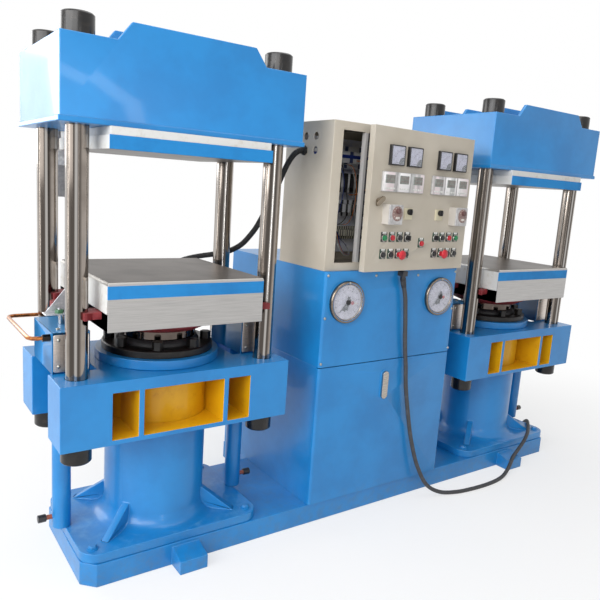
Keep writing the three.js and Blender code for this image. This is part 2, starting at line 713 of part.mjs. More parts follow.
// Fork ear that embraces a pillar from the table's side, level with the table plate
function tableEar(sideX, y, halfWidth, radius) {
  const tip = PILLAR_X - FORK_SETBACK;
  const outer = block(
    tip, PILLAR_X + radius + OVERRUN, y - radius - OVERRUN, y + radius + OVERRUN,
    TABLE_TOP - TABLE_PLATE - OVERRUN, TABLE_TOP + OVERRUN,
  );
  const ear = join(
    drum(radius, TABLE_TOP - TABLE_PLATE, TABLE_TOP, ROUND_SIDES, PILLAR_X, y),
    block(
      LOWER_PLATEN_HALF_X - OVERRUN, tip, y - halfWidth, y + halfWidth,
      TABLE_TOP - TABLE_PLATE, TABLE_TOP,
    ),
  );
  const fork = cut(ear, outer);
  return sideX > 0 ? fork : fork.mirror([1, 0, 0]);
}

// Rod lug: round-ended tongue of the table plate that carries a side rod
function rodLug(side) {
  const x = side * PILLAR_X;
  const inner = side * (LOWER_PLATEN_HALF_X - OVERRUN);
  const bottom = TABLE_TOP - TABLE_PLATE;
  return join(
    block(Math.min(x, inner), Math.max(x, inner), -EAR_NECK, EAR_NECK, bottom, TABLE_TOP),
    drum(EAR_NECK, bottom, TABLE_TOP, ROUND_SIDES, x, 0),
    drum(SIDE_ROD_RADIUS, rodBottom(), bottom + OVERRUN, SMALL_SIDES, x, 0),
  );
}

// Rib from the table's core out towards a pillar
function tableRib(sideX, sideY) {
  const plateBottom = TABLE_TOP - TABLE_PLATE;
  const reach = Math.hypot(PILLAR_X, PILLAR_Y) - PILLAR_RADIUS - EAR_RADIUS / 2;
  const rib = outline([
    [0, TABLE_BOTTOM + FIT_GAP], [CORE_FOOT_RADIUS, TABLE_BOTTOM + FIT_GAP],
    [reach, plateBottom - RIB_TIP], [reach, plateBottom + OVERRUN], [0, plateBottom + OVERRUN],
  ]);
  const slab = prismY(rib, -TABLE_RIB / 2, TABLE_RIB / 2);
  const angle = Math.atan2(sideY * PILLAR_Y, sideX * PILLAR_X);
  return slab.rotate([0, 0, THREE.MathUtils.radToDeg(angle)]);
}

// Moving table: plate with fork ears at the pillars, ribbed round core, and the side rods
function movingTable() {
  const plateBottom = TABLE_TOP - TABLE_PLATE;
  const coreTop = plateBottom + OVERRUN;
  const core = turned([
    [0, TABLE_BOTTOM],
    [CORE_FOOT_RADIUS, TABLE_BOTTOM],
    [TABLE_CORE_RADIUS, TABLE_BOTTOM + TABLE_PLATE],
    [TABLE_CORE_RADIUS, coreTop],
    [0, coreTop],
  ], LARGE_SIDES);
  const plateHalfY = LOWER_PLATEN_HALF_Y - TABLE_PLATE;
  const plate = block(
    -LOWER_PLATEN_HALF_X, LOWER_PLATEN_HALF_X, -plateHalfY, plateHalfY, plateBottom, TABLE_TOP,
  );
  const ears = CORNERS.map(([sideX, sideY]) => (
    tableEar(sideX, sideY * PILLAR_Y, EAR_NECK, EAR_RADIUS)
  ));
  const ribs = CORNERS.map(([sideX, sideY]) => tableRib(sideX, sideY));
  const body = join(core, plate, ...ears, ...ribs, rodLug(-1), rodLug(1));
  return cut(body, ...pillarBores(GUIDE_GAP, TABLE_BOTTOM, TABLE_TOP + OVERRUN));
}

const sideTubeBottom = () => BASE_TOP + FLANGE_THICKNESS + FIT_GAP;
const rodBottom = () => sideTubeBottom() + SIDE_NECK_DEPTH + FIT_GAP;

// Side cylinder: tube through the beam's end notch, head block on the arms, drain cock at its foot
function sideCylinder(side) {
  const bottom = sideTubeBottom();
  const tube = drum(SIDE_TUBE_RADIUS, bottom, BEAM_TOP + OVERRUN, ROUND_SIDES);
  const head = prism(
    roundedOutline(
      -SIDE_BLOCK_HALF_X, SIDE_BLOCK_HALF_X, -SIDE_BLOCK_HALF_Y, SIDE_BLOCK_HALF_Y, FIT_GAP,
    ),
    BEAM_TOP, SIDE_BLOCK_TOP, 1,
  );
  const reach = SIDE_TUBE_RADIUS + COCK_REACH;
  const cockZ = bottom + COCK_HEIGHT / 2;
  const ends = side < 0 ? [-reach, 0] : [0, reach];
  const cock = barX(COCK_RADIUS, ends[0], ends[1], 0, cockZ);
  const knobX = side * (reach - COCK_KNOB_RADIUS);
  const knob = barX(COCK_KNOB_RADIUS, knobX - COCK_KNOB_RADIUS, knobX + COCK_KNOB_RADIUS, 0, cockZ);
  const neckBottom = SIDE_BLOCK_TOP - SIDE_NECK_DEPTH;
  const bore = drum(SIDE_BORE_RADIUS, rodBottom() - FIT_GAP, neckBottom, SMALL_SIDES);
  const neck = drum(
    SIDE_ROD_RADIUS + GUIDE_GAP, neckBottom - OVERRUN, SIDE_BLOCK_TOP + OVERRUN, SMALL_SIDES,
  );
  return cut(join(tube, head, cock, knob), bore, neck);
}

// Path of straight runs joined by rounded bends
function bentPath(points, bend) {
  const path = new THREE.CurvePath();
  const corners = points.map((point) => new THREE.Vector3(...point));
  let start = corners[0];
  for (let i = 1; i < corners.length - 1; i += 1) {
    const into = corners[i].clone().sub(corners[i - 1]).setLength(bend);
    const out = corners[i + 1].clone().sub(corners[i]).setLength(bend);
    const before = corners[i].clone().sub(into);
    const after = corners[i].clone().add(out);
    path.add(new THREE.LineCurve3(start, before));
    path.add(new THREE.QuadraticBezierCurve3(before, corners[i], after));
    start = after;
  }
  path.add(new THREE.LineCurve3(start, corners[corners.length - 1]));
  return path;
}

// Round section swept along a curve by rings carried without twist; an inner radius makes a bore
function ringTube(curve, radii, sides, boreRadius = 0, boreStep = 1) {
  const count = radii.length;
  const frames = curve.computeFrenetFrames(count - 1, false);
  const centres = curve.getSpacedPoints(count - 1);
  const vertices = [];
  const faces = [];
  const addRing = (ring, radius) => {
    const first = vertices.length / 3;
    for (let k = 0; k < sides; k += 1) {
      const angle = (k / sides) * 2 * Math.PI;
      const point = centres[ring].clone()
        .addScaledVector(frames.normals[ring], radius * Math.cos(angle))
        .addScaledVector(frames.binormals[ring], radius * Math.sin(angle));
      vertices.push(point.x, point.y, point.z);
    }
    return first;
  };
  const bridge = (a, b) => {
    for (let k = 0; k < sides; k += 1) {
      const next = (k + 1) % sides;
      faces.push(a + k, a + next, b + next, a + k, b + next, b + k);
    }
  };
  const outer = radii.map((radius, ring) => addRing(ring, radius));
  for (let i = 1; i < count; i += 1) bridge(outer[i - 1], outer[i]);
  if (boreRadius > 0) {
    const stops = centres.map((_, ring) => ring).filter((ring) => ring % boreStep === 0);
    if (stops[stops.length - 1] !== count - 1) stops.push(count - 1);
    const inner = stops.map((ring) => addRing(ring, boreRadius));
    for (let i = 1; i < inner.length; i += 1) bridge(inner[i], inner[i - 1]);
    bridge(inner[0], outer[0]);
    bridge(outer[count - 1], inner[inner.length - 1]);
  } else {
    for (let k = 1; k < sides - 1; k += 1) {
      faces.push(outer[0], outer[0] + k + 1, outer[0] + k);
      faces.push(outer[count - 1], outer[count - 1] + k, outer[count - 1] + k + 1);
    }
  }
  const geometry = new THREE.BufferGeometry();
  geometry.setAttribute('position', new THREE.Float32BufferAttribute(vertices, 3));
  geometry.setIndex(faces);
  return solid(geometry);
}

// Pressure pipe of the left side cylinder: out of the head block, round the back pillar
function pressurePipe() {
  const headX = -SIDE_BLOCK_HALF_X;
  const outX = -PIPE_REACH;
  const dropX = SIDE_BLOCK_HALF_X + PIPE_BEND;
  const backY = PILLAR_Y + PILLAR_RADIUS + PIPE_CLEARANCE;
  const z = SIDE_BLOCK_TOP - PIPE_DROP;
  const route = bentPath([
    [headX + OVERRUN, -PIPE_FRONT, z],
    [outX, -PIPE_FRONT, z],
    [outX, backY, z],
    [dropX, backY, z],
    [dropX, backY, BEAM_TOP + PIPE_NUT_RADIUS],
  ], PIPE_BEND);
  const pipe = ringTube(route, Array(PIPE_RINGS).fill(PIPE_RADIUS), HEX_SIDES);
  const frontNut = barX(
    PIPE_NUT_RADIUS, headX - 2 * PIPE_NUT_RADIUS, headX + OVERRUN, -PIPE_FRONT, z, HEX_SIDES,
  );
  const endNut = drum(
    PIPE_NUT_RADIUS, BEAM_TOP + FIT_GAP, BEAM_TOP + 2 * PIPE_NUT_RADIUS, HEX_SIDES, dropX, backY,
  );
  return join(pipe, frontNut, endNut);
}

// Pillar with its round nuts: one above the crosshead and one under the beam
function pillar() {
  const lowerTop = BEAM_BOTTOM - FIT_GAP;
  const lowerBottom = lowerTop - NUT_HEIGHT;
  const upperBottom = CROSSHEAD_DECK + FIT_GAP;
  const upperTop = upperBottom + NUT_HEIGHT;
  return turned([
    [0, lowerBottom],
    [NUT_RADIUS - NUT_CHAMFER, lowerBottom],
    [NUT_RADIUS, lowerBottom + NUT_CHAMFER],
    [NUT_RADIUS, lowerTop],
    [PILLAR_RADIUS, lowerTop],
    [PILLAR_RADIUS, upperBottom],
    [NUT_RADIUS, upperBottom],
    [NUT_RADIUS, upperTop - NUT_CHAMFER],
    [NUT_RADIUS - NUT_CHAMFER, upperTop],
    [0, upperTop],
  ]);
}

// One press station, built about its own centre line
function station(tag) {
  const group = new THREE.Group();
  group.position.set(tag === 'a' ? -STATION_OFFSET : STATION_OFFSET, 0, 0);
  addPiece(group, `cylinder_${tag}`, mainCylinder(), bluePaint);
  addPiece(group, `gland_ring_${tag}`, glandRing(), blackSteel);
  addPiece(group, `ram_${tag}`, ram(), chromePlate);
  addPiece(group, `lower_beam_${tag}`, lowerBeam(), bluePaint);
  addPiece(group, `moving_table_${tag}`, movingTable(), redPaint);
  addPiece(group, `lower_platen_${tag}`, lowerPlaten(), brushedSteel);
  addPiece(group, `upper_platen_${tag}`, upperPlaten(), brushedSteel);
  addPiece(group, `crosshead_${tag}`, crosshead(), bluePaint);
  for (const [sideX, sideY] of CORNERS) {
    const name = `pillar_${tag}_${sideY < 0 ? 'front' : 'back'}_${sideX < 0 ? 'left' : 'right'}`;
    addPiece(group, name, pillar(), chromePlate, [sideX * PILLAR_X, sideY * PILLAR_Y, 0]);
  }
  for (const side of [-1, 1]) {
    const name = `side_cylinder_${tag}_${side < 0 ? 'left' : 'right'}`;
    const piped = tag === 'a' && side < 0;
    const body = piped ? join(sideCylinder(side), pressurePipe()) : sideCylinder(side);
    addPiece(group, name, body, bluePaint, [side * PILLAR_X, 0, 0]);
  }
  return group;
}

// Sheet casing closed on top and round its sides, open underneath
function casing(front, frontCorner, bottom, top) {
  const half = CABINET_HALF_WIDTH;
  const shell = prism(
    roundedOutline(-half, half, front, HOUSING_BACK, frontCorner, CABINET_CORNER), bottom, top,
  );
  const inner = half - CASING_WALL;
  const hollow = prism(
    roundedOutline(
      -inner, inner, front + CASING_WALL, HOUSING_BACK - CASING_WALL,
      Math.max(frontCorner - CASING_WALL, 0), CABINET_CORNER - CASING_WALL,
    ),
    bottom - OVERRUN, top - CASING_WALL,
  );
  return cut(shell, hollow);
}

// Lower housing: oil tank and power unit casing, closed in front by the cover
function lowerHousing() {
  return casing(-HOUSING_FRONT + COVER_THICKNESS + FIT_GAP, 0, BASE_TOP, HOUSING_SEAM);
}

// Front cover: shallow pan over the whole front, with a raised oblong seat for the latch
function frontCover() {
  const pan = prism(
    roundedOutline(
      -CABINET_HALF_WIDTH, CABINET_HALF_WIDTH, -HOUSING_FRONT, -HOUSING_FRONT + COVER_THICKNESS,
      CABINET_CORNER, 0,
    ),
    BASE_TOP + COVER_REVEAL, HOUSING_SEAM - COVER_REVEAL,
  );
  const seat = oblong(LATCH_HALF_WIDTH + LATCH_MARGIN, LATCH_HALF_LENGTH + LATCH_MARGIN,
    -HOUSING_FRONT - LATCH_PLATE, -HOUSING_FRONT + FIT_GAP);
  return join(pan, seat.translate([LATCH_CENTRE_X, 0, LATCH_CENTRE_Z]));
}

// Upright oblong with round ends, its thickness along Y, centred on the axis
function oblong(halfWidth, halfLength, y0, y1) {
  const shape = new THREE.Shape();
  const straight = halfLength - halfWidth;
  shape.absarc(0, straight, halfWidth, 0, Math.PI);
  shape.absarc(0, -straight, halfWidth, Math.PI, 2 * Math.PI);
  return prismY(shape, y0, y1, 8);
}

// Latch handle on the cover's seat
function coverLatch() {
  const back = -HOUSING_FRONT - LATCH_PLATE - FIT_GAP;
  return oblong(LATCH_HALF_WIDTH, LATCH_HALF_LENGTH, back - LATCH_THICKNESS, back);
}

// Gauge case: flange, bezel and open dial recess with a pivot for the needle
function gaugeCase(x) {
  const profile = [
    [0, -CASING_WALL / 2], [GAUGE_RADIUS, -CASING_WALL / 2],
    [GAUGE_RADIUS, GAUGE_PROUD - GAUGE_BEZEL / 2],
    [GAUGE_RADIUS - GAUGE_BEZEL / 2, GAUGE_PROUD], [GAUGE_RADIUS - GAUGE_BEZEL, GAUGE_PROUD],
    [GAUGE_RADIUS - GAUGE_BEZEL, GAUGE_PROUD - GAUGE_RECESS],
    [GAUGE_PIVOT_RADIUS, GAUGE_PROUD - GAUGE_RECESS],
    [GAUGE_PIVOT_RADIUS, GAUGE_PROUD - GAUGE_RECESS / 2],
    [0, GAUGE_PROUD - GAUGE_RECESS / 2],
  ];
  const body = turned(profile, GAUGE_SIDES);
  return body.rotate([90, 0, 0]).translate([x, -HOUSING_FRONT, GAUGE_HEIGHT]);
}

// Gauge needle, pointing up about its own pivot
function gaugeNeedle() {
  const back = -HOUSING_FRONT - GAUGE_PROUD + GAUGE_RECESS / 2 - FIT_GAP;
  const front = back - NEEDLE_THICKNESS;
  const hand = outline([
    [-NEEDLE_HALF_WIDTH, -NEEDLE_TAIL], [NEEDLE_HALF_WIDTH, -NEEDLE_TAIL],
    [NEEDLE_HALF_WIDTH, 0], [NEEDLE_TIP, NEEDLE_LENGTH],
    [-NEEDLE_TIP, NEEDLE_LENGTH], [-NEEDLE_HALF_WIDTH, 0],
  ]);
  return join(
    prismY(hand, front, back),
    barY(NEEDLE_HUB_RADIUS, front, back, 0, 0),
  );
}

// Places of the cable elbow: the supply cable leaves it straight down
const cableY = () => -HOUSING_FRONT - ELBOW_REACH + ELBOW_HALF + FIT_GAP;
const elbowBottom = () => SHROUD_TOP - ELBOW_TOP_GAP - ELBOW_HEIGHT;
const cableTop = () => elbowBottom() - CABLE_NUT_HEIGHT;

// Gauge shroud: closed casing between housing and panel, with the gauges and the cable elbow
function gaugeShroud() {
  const shell = casing(-HOUSING_FRONT, CABINET_CORNER, HOUSING_SEAM, SHROUD_TOP);
  const elbow = block(
    ELBOW_X - ELBOW_HALF, ELBOW_X + ELBOW_HALF,
    -HOUSING_FRONT - ELBOW_REACH, -HOUSING_FRONT + CASING_WALL / 2,
    elbowBottom(), SHROUD_TOP - ELBOW_TOP_GAP,
  );
  const nut = drum(
    CABLE_NUT_RADIUS, cableTop(), elbowBottom() + OVERRUN, HEX_SIDES, ELBOW_X, cableY(),
  );
  return join(shell, gaugeCase(-GAUGE_OFFSET), gaugeCase(GAUGE_OFFSET), elbow, nut);
}

// Row of devices: a common body with a nose on each
function deviceRow(row, half, face, z) {
  const inset = PLATE_THICKNESS / 2;
  const noseRoot = face - row.depth * NOSE_SHARE;
  const body = block(
    -half, half, noseRoot, face + inset, z - row.height / 2, z + row.height / 2,
  );
  const pitch = (2 * half) / row.units;
  const noses = Array.from({ length: row.units }, (_, index) => {
    const x = -half + (index + 0.5) * pitch;
    const halfX = (pitch * UNIT_SHARE) / 2;
    const halfZ = (row.height * NOSE_SHARE) / 2;
    return block(
      x - halfX, x + halfX, face - row.depth, noseRoot + inset, z - halfZ, z + halfZ,
    );
  });
  return join(body, ...noses);
}

// Mounting plate on stand-offs from the cabinet's back wall, with four rows of devices
function switchgear() {
  const back = PANEL_BACK - PANEL_WALL;
  const face = back - PLATE_GAP - PLATE_THICKNESS;
  const half = CABINET_HALF_WIDTH - PLATE_MARGIN;
  const bottom = SHROUD_TOP + PLATE_MARGIN;
  const top = PANEL_TOP - PLATE_MARGIN;
  const standoffs = CORNERS.map(([sideX, sideZ]) => barY(
    STANDOFF_RADIUS, face, back + PANEL_WALL / 2,
    sideX * (half - PLATE_MARGIN),
    (top + bottom) / 2 + sideZ * ((top - bottom) / 2 - PLATE_MARGIN / 2),
    HEX_SIDES,
  ));
  const rows = [BREAKER_ROW, CONTACTOR_ROW, RELAY_ROW, TERMINAL_ROW].map((row) => (
    deviceRow(row, half - PLATE_MARGIN / 2, face, bottom + row.share * (top - bottom))
  ));
  return join(
    block(-half, half, face, face + PLATE_THICKNESS, bottom, top), ...standoffs, ...rows,
  );
}

// Hinge places along the door
const hingeHeights = () => [DOOR_BOTTOM + HINGE_INSET, DOOR_TOP - HINGE_INSET - 2 * HINGE_KNUCKLE];
const hingeX = () => CABINET_HALF_WIDTH + HINGE_RADIUS + FIT_GAP;
const hingeY = () => -PANEL_FRONT - HINGE_RADIUS - DOOR_GAP;

// Electrical cabinet: folded box with a front opening, door post, cable entries and hinge halves
function upperCabinet() {
  const shell = prism(
    roundedOutline(
      -CABINET_HALF_WIDTH, CABINET_HALF_WIDTH, -PANEL_FRONT, PANEL_BACK, PANEL_WALL,
    ),
    SHROUD_TOP, PANEL_TOP, 2,
  );
  const inner = CABINET_HALF_WIDTH - PANEL_WALL;
  const hollow = block(
    -inner, inner, -PANEL_FRONT + PANEL_WALL, PANEL_BACK - PANEL_WALL,
    SHROUD_TOP + PANEL_WALL, PANEL_TOP - PANEL_WALL,
  );
  const opening = block(
    -OPENING_LEFT, OPENING_RIGHT, -PANEL_FRONT - OVERRUN, -PANEL_FRONT + PANEL_WALL + OVERRUN,
    SHROUD_TOP + OPENING_MARGIN, PANEL_TOP - OPENING_MARGIN,
  );
  const postX = hingeX() - doorEdge() - DOOR_WIDTH + POST_SETBACK;
  const post = block(
    postX - POST_WIDTH / 2, postX + POST_WIDTH / 2, -PANEL_FRONT, -PANEL_FRONT + POST_DEPTH,
    SHROUD_TOP + PANEL_WALL / 2, PANEL_TOP - PANEL_WALL / 2,
  );
  const entries = [];
  for (const z of ENTRY_ROWS) {
    for (const y of ENTRY_COLUMNS) {
      const used = z === ENTRY_ROWS[0] && y === ENTRY_COLUMNS[0];
      if (!used) {
        entries.push(barX(
          ENTRY_RADIUS, -CABINET_HALF_WIDTH - OVERRUN, -inner + OVERRUN, y, z,
        ));
      }
    }
  }
  const [glandY, glandZ] = [ENTRY_COLUMNS[0], ENTRY_ROWS[0]];
  const gland = join(
    barX(ENTRY_NUT_RADIUS, entryFace(), -inner + PANEL_WALL, glandY, glandZ, HEX_SIDES),
    barX(ENTRY_RADIUS, -CABINET_HALF_WIDTH - OVERRUN, -inner + 2 * OVERRUN, glandY, glandZ),
  );
  const halves = hingeHeights().map((z) => {
    const top = z + HINGE_KNUCKLE - FIT_GAP;
    const pinTop = z + 2 * HINGE_KNUCKLE;
    const knuckle = drum(HINGE_RADIUS, z, top, SMALL_SIDES, hingeX(), hingeY());
    const pin = drum(HINGE_PIN_RADIUS, z, pinTop, SMALL_SIDES, hingeX(), hingeY());
    const outer = CABINET_HALF_WIDTH + HINGE_LEAF;
    const leaf = block(
      CABINET_HALF_WIDTH - PANEL_WALL / 2, outer,
      -PANEL_FRONT + PANEL_WALL, -PANEL_FRONT + HINGE_KNUCKLE, z, top,
    );
    const tongue = block(
      CABINET_HALF_WIDTH + FIT_GAP, outer, hingeY(), -PANEL_FRONT + 2 * PANEL_WALL, z, top,
    );
    return join(knuckle, pin, leaf, tongue);
  });
  const box = cut(join(cut(shell, hollow, opening), post), ...entries);
  return join(box, gland, ...halves, switchgear());
}

const entryFace = () => -CABINET_HALF_WIDTH - ENTRY_RADIUS;

// Distance from the hinge axis to the door pan's edge
const doorEdge = () => HINGE_RADIUS + DOOR_GAP;

// Door places: local X runs from the hinge axis, and the pan's front is at doorFront
const doorBack = () => -PANEL_FRONT - DOOR_GAP - hingeY();
const doorFront = () => doorBack() - DOOR_DEPTH;
const doorX = (offset) => -(doorEdge() + CLUSTER_CENTRE + offset);

// Height of a row of instruments on the door
const doorHeight = (share) => DOOR_BOTTOM + share * (DOOR_TOP - DOOR_BOTTOM);

// Push buttons and selectors: [name, side of the cluster, column outwards, row downwards, kind]
const CONTROLS = [
  ['a_close_button', -1, 3, 0, 'green'],
  ['a_open_button', -1, 2, 0, 'red'],
  ['a_pump_button', -1, 1, 0, 'black'],
  ['a_mode_selector', -1, 0, 0, 'selector'],
  ['a_heat_button', -1, 3, 1, 'black'],
  ['a_vent_button', -1, 2, 1, 'black'],
  ['a_stop_mushroom', -1, 1, 1, 'mushroom'],
  ['a_reset_button', -1, 0, 1, 'black'],
  ['b_mode_selector', 1, 0, 0, 'selector'],
  ['b_pump_button', 1, 1, 0, 'black'],
  ['b_open_button', 1, 2, 0, 'red'],
  ['b_close_button', 1, 3, 0, 'green'],
  ['b_heat_button', 1, 0, 1, 'black'],
  ['b_stop_mushroom', 1, 1, 1, 'mushroom'],
  ['b_vent_button', 1, 2, 1, 'black'],
  ['b_reset_button', 1, 3, 1, 'black'],
];

// Place of a control on the door as [local x, height]
function controlPlace(side, column, row) {
  const offset = -side * (BUTTON_FIRST_SHARE + column * BUTTON_PITCH_SHARE) * DOOR_WIDTH;
  return [doorX(offset), doorHeight(BUTTON_ROW_SHARES[row])];
}

const switchX = (side) => doorX(side * SWITCH_OFFSET_SHARE * DOOR_WIDTH);
const stopPlace = () => [doorX(0), doorHeight(STOP_HEIGHT_SHARE)];

const controlPlaces = () => [
  ...CONTROLS.map(([, side, column, row]) => controlPlace(side, column, row)),
  stopPlace(),
];

// Instrument door: folded pan with meters, controllers, timers, switch plates and button bezels
function instrumentDoor() {
  const x1 = -doorEdge();
  const x0 = x1 - DOOR_WIDTH;
  const front = doorFront();
  const back = doorBack();
  const inside = front + DOOR_WALL;
  const pan = cut(
    block(x0, x1, front, back, DOOR_BOTTOM, DOOR_TOP),
    block(
      x0 + DOOR_WALL, x1 - DOOR_WALL, inside, back + OVERRUN,
      DOOR_BOTTOM + DOOR_WALL, DOOR_TOP - DOOR_WALL,
    ),
  );
  const parts = [];
  const instrument = (x, z, halfFace, proud, depth) => {
    const neck = halfFace - BODY_STEP;
    parts.push(block(x - halfFace, x + halfFace, front - proud, inside, z - halfFace, z + halfFace));
    parts.push(block(x - neck, x + neck, front, inside + depth, z - neck, z + neck));
  };
  const half = INSTRUMENT_SIZE / 2;
  METER_OFFSET_SHARES.forEach((share) => {
    const x = doorX(share * DOOR_WIDTH);
    instrument(x, doorHeight(METER_HEIGHT_SHARE), half, METER_PROUD, METER_BODY);
  });
  CONTROLLER_OFFSET_SHARES.forEach((share) => {
    const x = doorX(share * DOOR_WIDTH);
    instrument(x, doorHeight(CONTROLLER_HEIGHT_SHARE), half, CONTROLLER_PROUD, CONTROLLER_BODY);
  });
  for (const side of [-1, 1]) {
    const timerZ = doorHeight(TIMER_HEIGHT_SHARE);
    const switchZ = doorHeight(SWITCH_HEIGHT_SHARE);
    instrument(doorX(side * TIMER_OFFSET), timerZ, half, TIMER_PROUD, TIMER_BODY);
    instrument(switchX(side), switchZ, SWITCH_PLATE / 2, BEZEL_PROUD, TIMER_BODY);
  }
  const wells = [];
  for (const [x, z] of controlPlaces()) {
    parts.push(barY(BEZEL_RADIUS, front - BEZEL_PROUD, inside, x, z));
    wells.push(barY(BUTTON_RADIUS + FIT_GAP, front - BEZEL_PROUD - OVERRUN, wellFloor(), x, z));
  }
  const reach = CONTACT_BLOCK / 2;
  const contacts = (from, to, z) => block(
    Math.min(from, to) - reach, Math.max(from, to) + reach,
    front + DOOR_WALL / 2, inside + CONTACT_BLOCK_DEPTH, z - reach, z + reach,
  );
  for (const side of [-1, 1]) {
    for (const row of [0, 1]) {
      const [first, z] = controlPlace(side, 0, row);
      parts.push(contacts(first, controlPlace(side, 3, row)[0], z));
    }
  }
  const [stopX, stopZ] = stopPlace();
  parts.push(contacts(stopX, stopX, stopZ));
  const halves = hingeHeights().map((height) => {
    const z = height + HINGE_KNUCKLE;
    const barrel = drum(HINGE_RADIUS, z, z + HINGE_KNUCKLE, SMALL_SIDES);
    const leaf = block(x1 - DOOR_WALL / 2, 0, -HINGE_LEAF, 0, z, z + HINGE_KNUCKLE);
    const pinHole = drum(
      HINGE_PIN_RADIUS + FIT_GAP, z - OVERRUN, z + HINGE_KNUCKLE + OVERRUN, SMALL_SIDES,
    );
    return cut(join(barrel, leaf), pinHole);
  });
  return cut(join(pan, ...parts, ...halves), ...wells);
}

// Depth to which a button's well reaches behind the door sheet
const wellFloor = () => doorFront() + DOOR_WALL + BUTTON_PROUD + BUTTON_TRAVEL;

// Button plunger, shared by all kinds: it runs in the well with room for its travel
function plunger(proud, x, z, radius = BUTTON_RADIUS) {
  return barY(radius, doorFront() - proud, wellFloor() - BUTTON_TRAVEL - FIT_GAP, x, z);
}

// One control by kind
function control(kind, x, z) {
  const front = doorFront();
  if (kind === 'mushroom') {
    const profile = MUSHROOM_PROFILE_SHARES.map((pair) => pair.map((share) => share * MUSHROOM_RADIUS));
    const [, height] = profile[profile.length - 1];
    const head = turned(profile, SMALL_SIDES).rotate([90, 0, 0]);
    return join(
      head.translate([x, front - MUSHROOM_PROUD + height, z]),
      plunger(MUSHROOM_NECK, x, z),
    );
  }
  if (kind === 'selector') {
    const handle = block(
      x - SELECTOR_WING, x + SELECTOR_WING, front - 2 * BUTTON_PROUD, front - BUTTON_PROUD / 2,
      z - SELECTOR_RADIUS, z + SELECTOR_RADIUS,
    );
    return join(plunger(BUTTON_PROUD, x, z, SELECTOR_RADIUS), handle);
  }
  return plunger(BUTTON_PROUD, x, z);
}

const CONTROL_MATERIALS = {
  green: greenPlastic,
  red: redPlastic,
  black: blackPlastic,
  selector: blackPlastic,
  mushroom: redPlastic,
};

// Rotary switch knob on its plate, with a pointer ridge
function switchKnob(x) {
  const seat = doorFront() - BEZEL_PROUD - FIT_GAP;
  const z = doorHeight(SWITCH_HEIGHT_SHARE) + SWITCH_KNOB_RISE;
  const top = seat - SWITCH_KNOB_HEIGHT;
  return join(
    barY(SWITCH_KNOB_RADIUS, top, seat, x, z, ROUND_SIDES),
    block(
      x - SWITCH_RIDGE, x + SWITCH_RIDGE, top - SWITCH_RIDGE_PROUD, top + SWITCH_RIDGE_PROUD,
      z - SWITCH_KNOB_RADIUS, z + SWITCH_KNOB_RADIUS,
    ),
  );
}

// Door lock handle: tapered lever on a round hub
function doorLock() {
  const seat = doorFront() - FIT_GAP;
  const under = seat - LOCK_THICKNESS;
  const lever = oblong(LOCK_HALF_WIDTH, LOCK_HALF_LENGTH, under - LOCK_THICKNESS, under);
  const hub = barY(LOCK_HUB_RADIUS, under - FIT_GAP, seat, 0, 0);
  return join(lever, hub);
}

// The door group, turned to stand ajar about its hinge axis
function doorGroup() {
  const group = new THREE.Group();
  group.position.set(hingeX(), hingeY(), 0);
  group.rotation.z = THREE.MathUtils.degToRad(DOOR_AJAR_DEG);
  addPiece(group, 'instrument_door', instrumentDoor(), beigePaint);
  for (const [name, side, column, row, kind] of CONTROLS) {
    const [x, z] = controlPlace(side, column, row);
    addPiece(group, name, control(kind, x, z), CONTROL_MATERIALS[kind]);
  }
  addPiece(group, 'centre_stop_button', control('red', ...stopPlace()), redPlastic);
  addPiece(group, 'a_rotary_switch', switchKnob(switchX(1)), blackPlastic);
  addPiece(group, 'b_rotary_switch', switchKnob(switchX(-1)), blackPlastic);
  const lock = addPiece(group, 'door_lock', doorLock(), chromePlate, [
    -doorEdge() - DOOR_WIDTH + LOCK_INSET, 0, doorHeight(LOCK_HEIGHT_SHARE),
  ]);
  lock.rotation.y = THREE.MathUtils.degToRad(90 - LOCK_TILT_DEG);
  return group;
}

// Smooth curve through a cord's hand-chosen points
const cordCurve = (points) => new THREE.CatmullRomCurve3(
  points.map((point) => new THREE.Vector3(...point)), false, 'centripetal',
);

// Corrugated conduit from the cabinet's side entry to the back of station A's lower platen:
// its first points are given from the entry, its last ones from the seat on the platen
const CONDUIT_LEAVING = [
  [-20.7, 8, -6],
  [-39.7, 26, -43],
  [-54.7, 56, -119],
  [-70.7, 98, -210],
  [-88.7, 150, -303],
];
const CONDUIT_ARRIVING = [
  [202, -136.3, 91],
  [174, -80.3, 57],
  [136, -22.3, 39],
  [90, 29.7, 25],
  [42, 49.7, 11],
  [10, 37.7, 2],
];

function conduitCurve() {
  const start = new THREE.Vector3(entryFace() - FIT_GAP, ENTRY_COLUMNS[0], ENTRY_ROWS[0]);
  const end = new THREE.Vector3(...conduitSeat());
  const straight = 2 * CONDUIT_RADIUS;
  return new THREE.CatmullRomCurve3([
    start,
    start.clone().add(new THREE.Vector3(-straight, 0, 0)),
    ...CONDUIT_LEAVING.map((offset) => start.clone().add(new THREE.Vector3(...offset))),
    ...CONDUIT_ARRIVING.map((offset) => end.clone().add(new THREE.Vector3(...offset))),
    end.clone().add(new THREE.Vector3(0, straight, 0)),
    end,
  ], false, 'centripetal');
}

// Conduit gland on the platen's back, at station A's right
const conduitSeat = () => [
  -STATION_OFFSET + CONDUIT_SEAT_X,
  LOWER_PLATEN_HALF_Y + GUARD_THICKNESS + HEATER_REACH + FIT_GAP,
  LOWER_PLATEN_TOP - LOWER_STEEL / 2,
];

function platenConduit() {
  const rings = 2 * CONDUIT_RIBS + 1;
  const radii = Array.from({ length: rings }, (_, ring) => (
    ring % 2 === 0 ? CONDUIT_RADIUS - CONDUIT_RIB_DEPTH : CONDUIT_RADIUS
  ));
  return ringTube(conduitCurve(), radii, CONDUIT_SIDES, CONDUIT_BORE_RADIUS, CONDUIT_BORE_STEP);
}

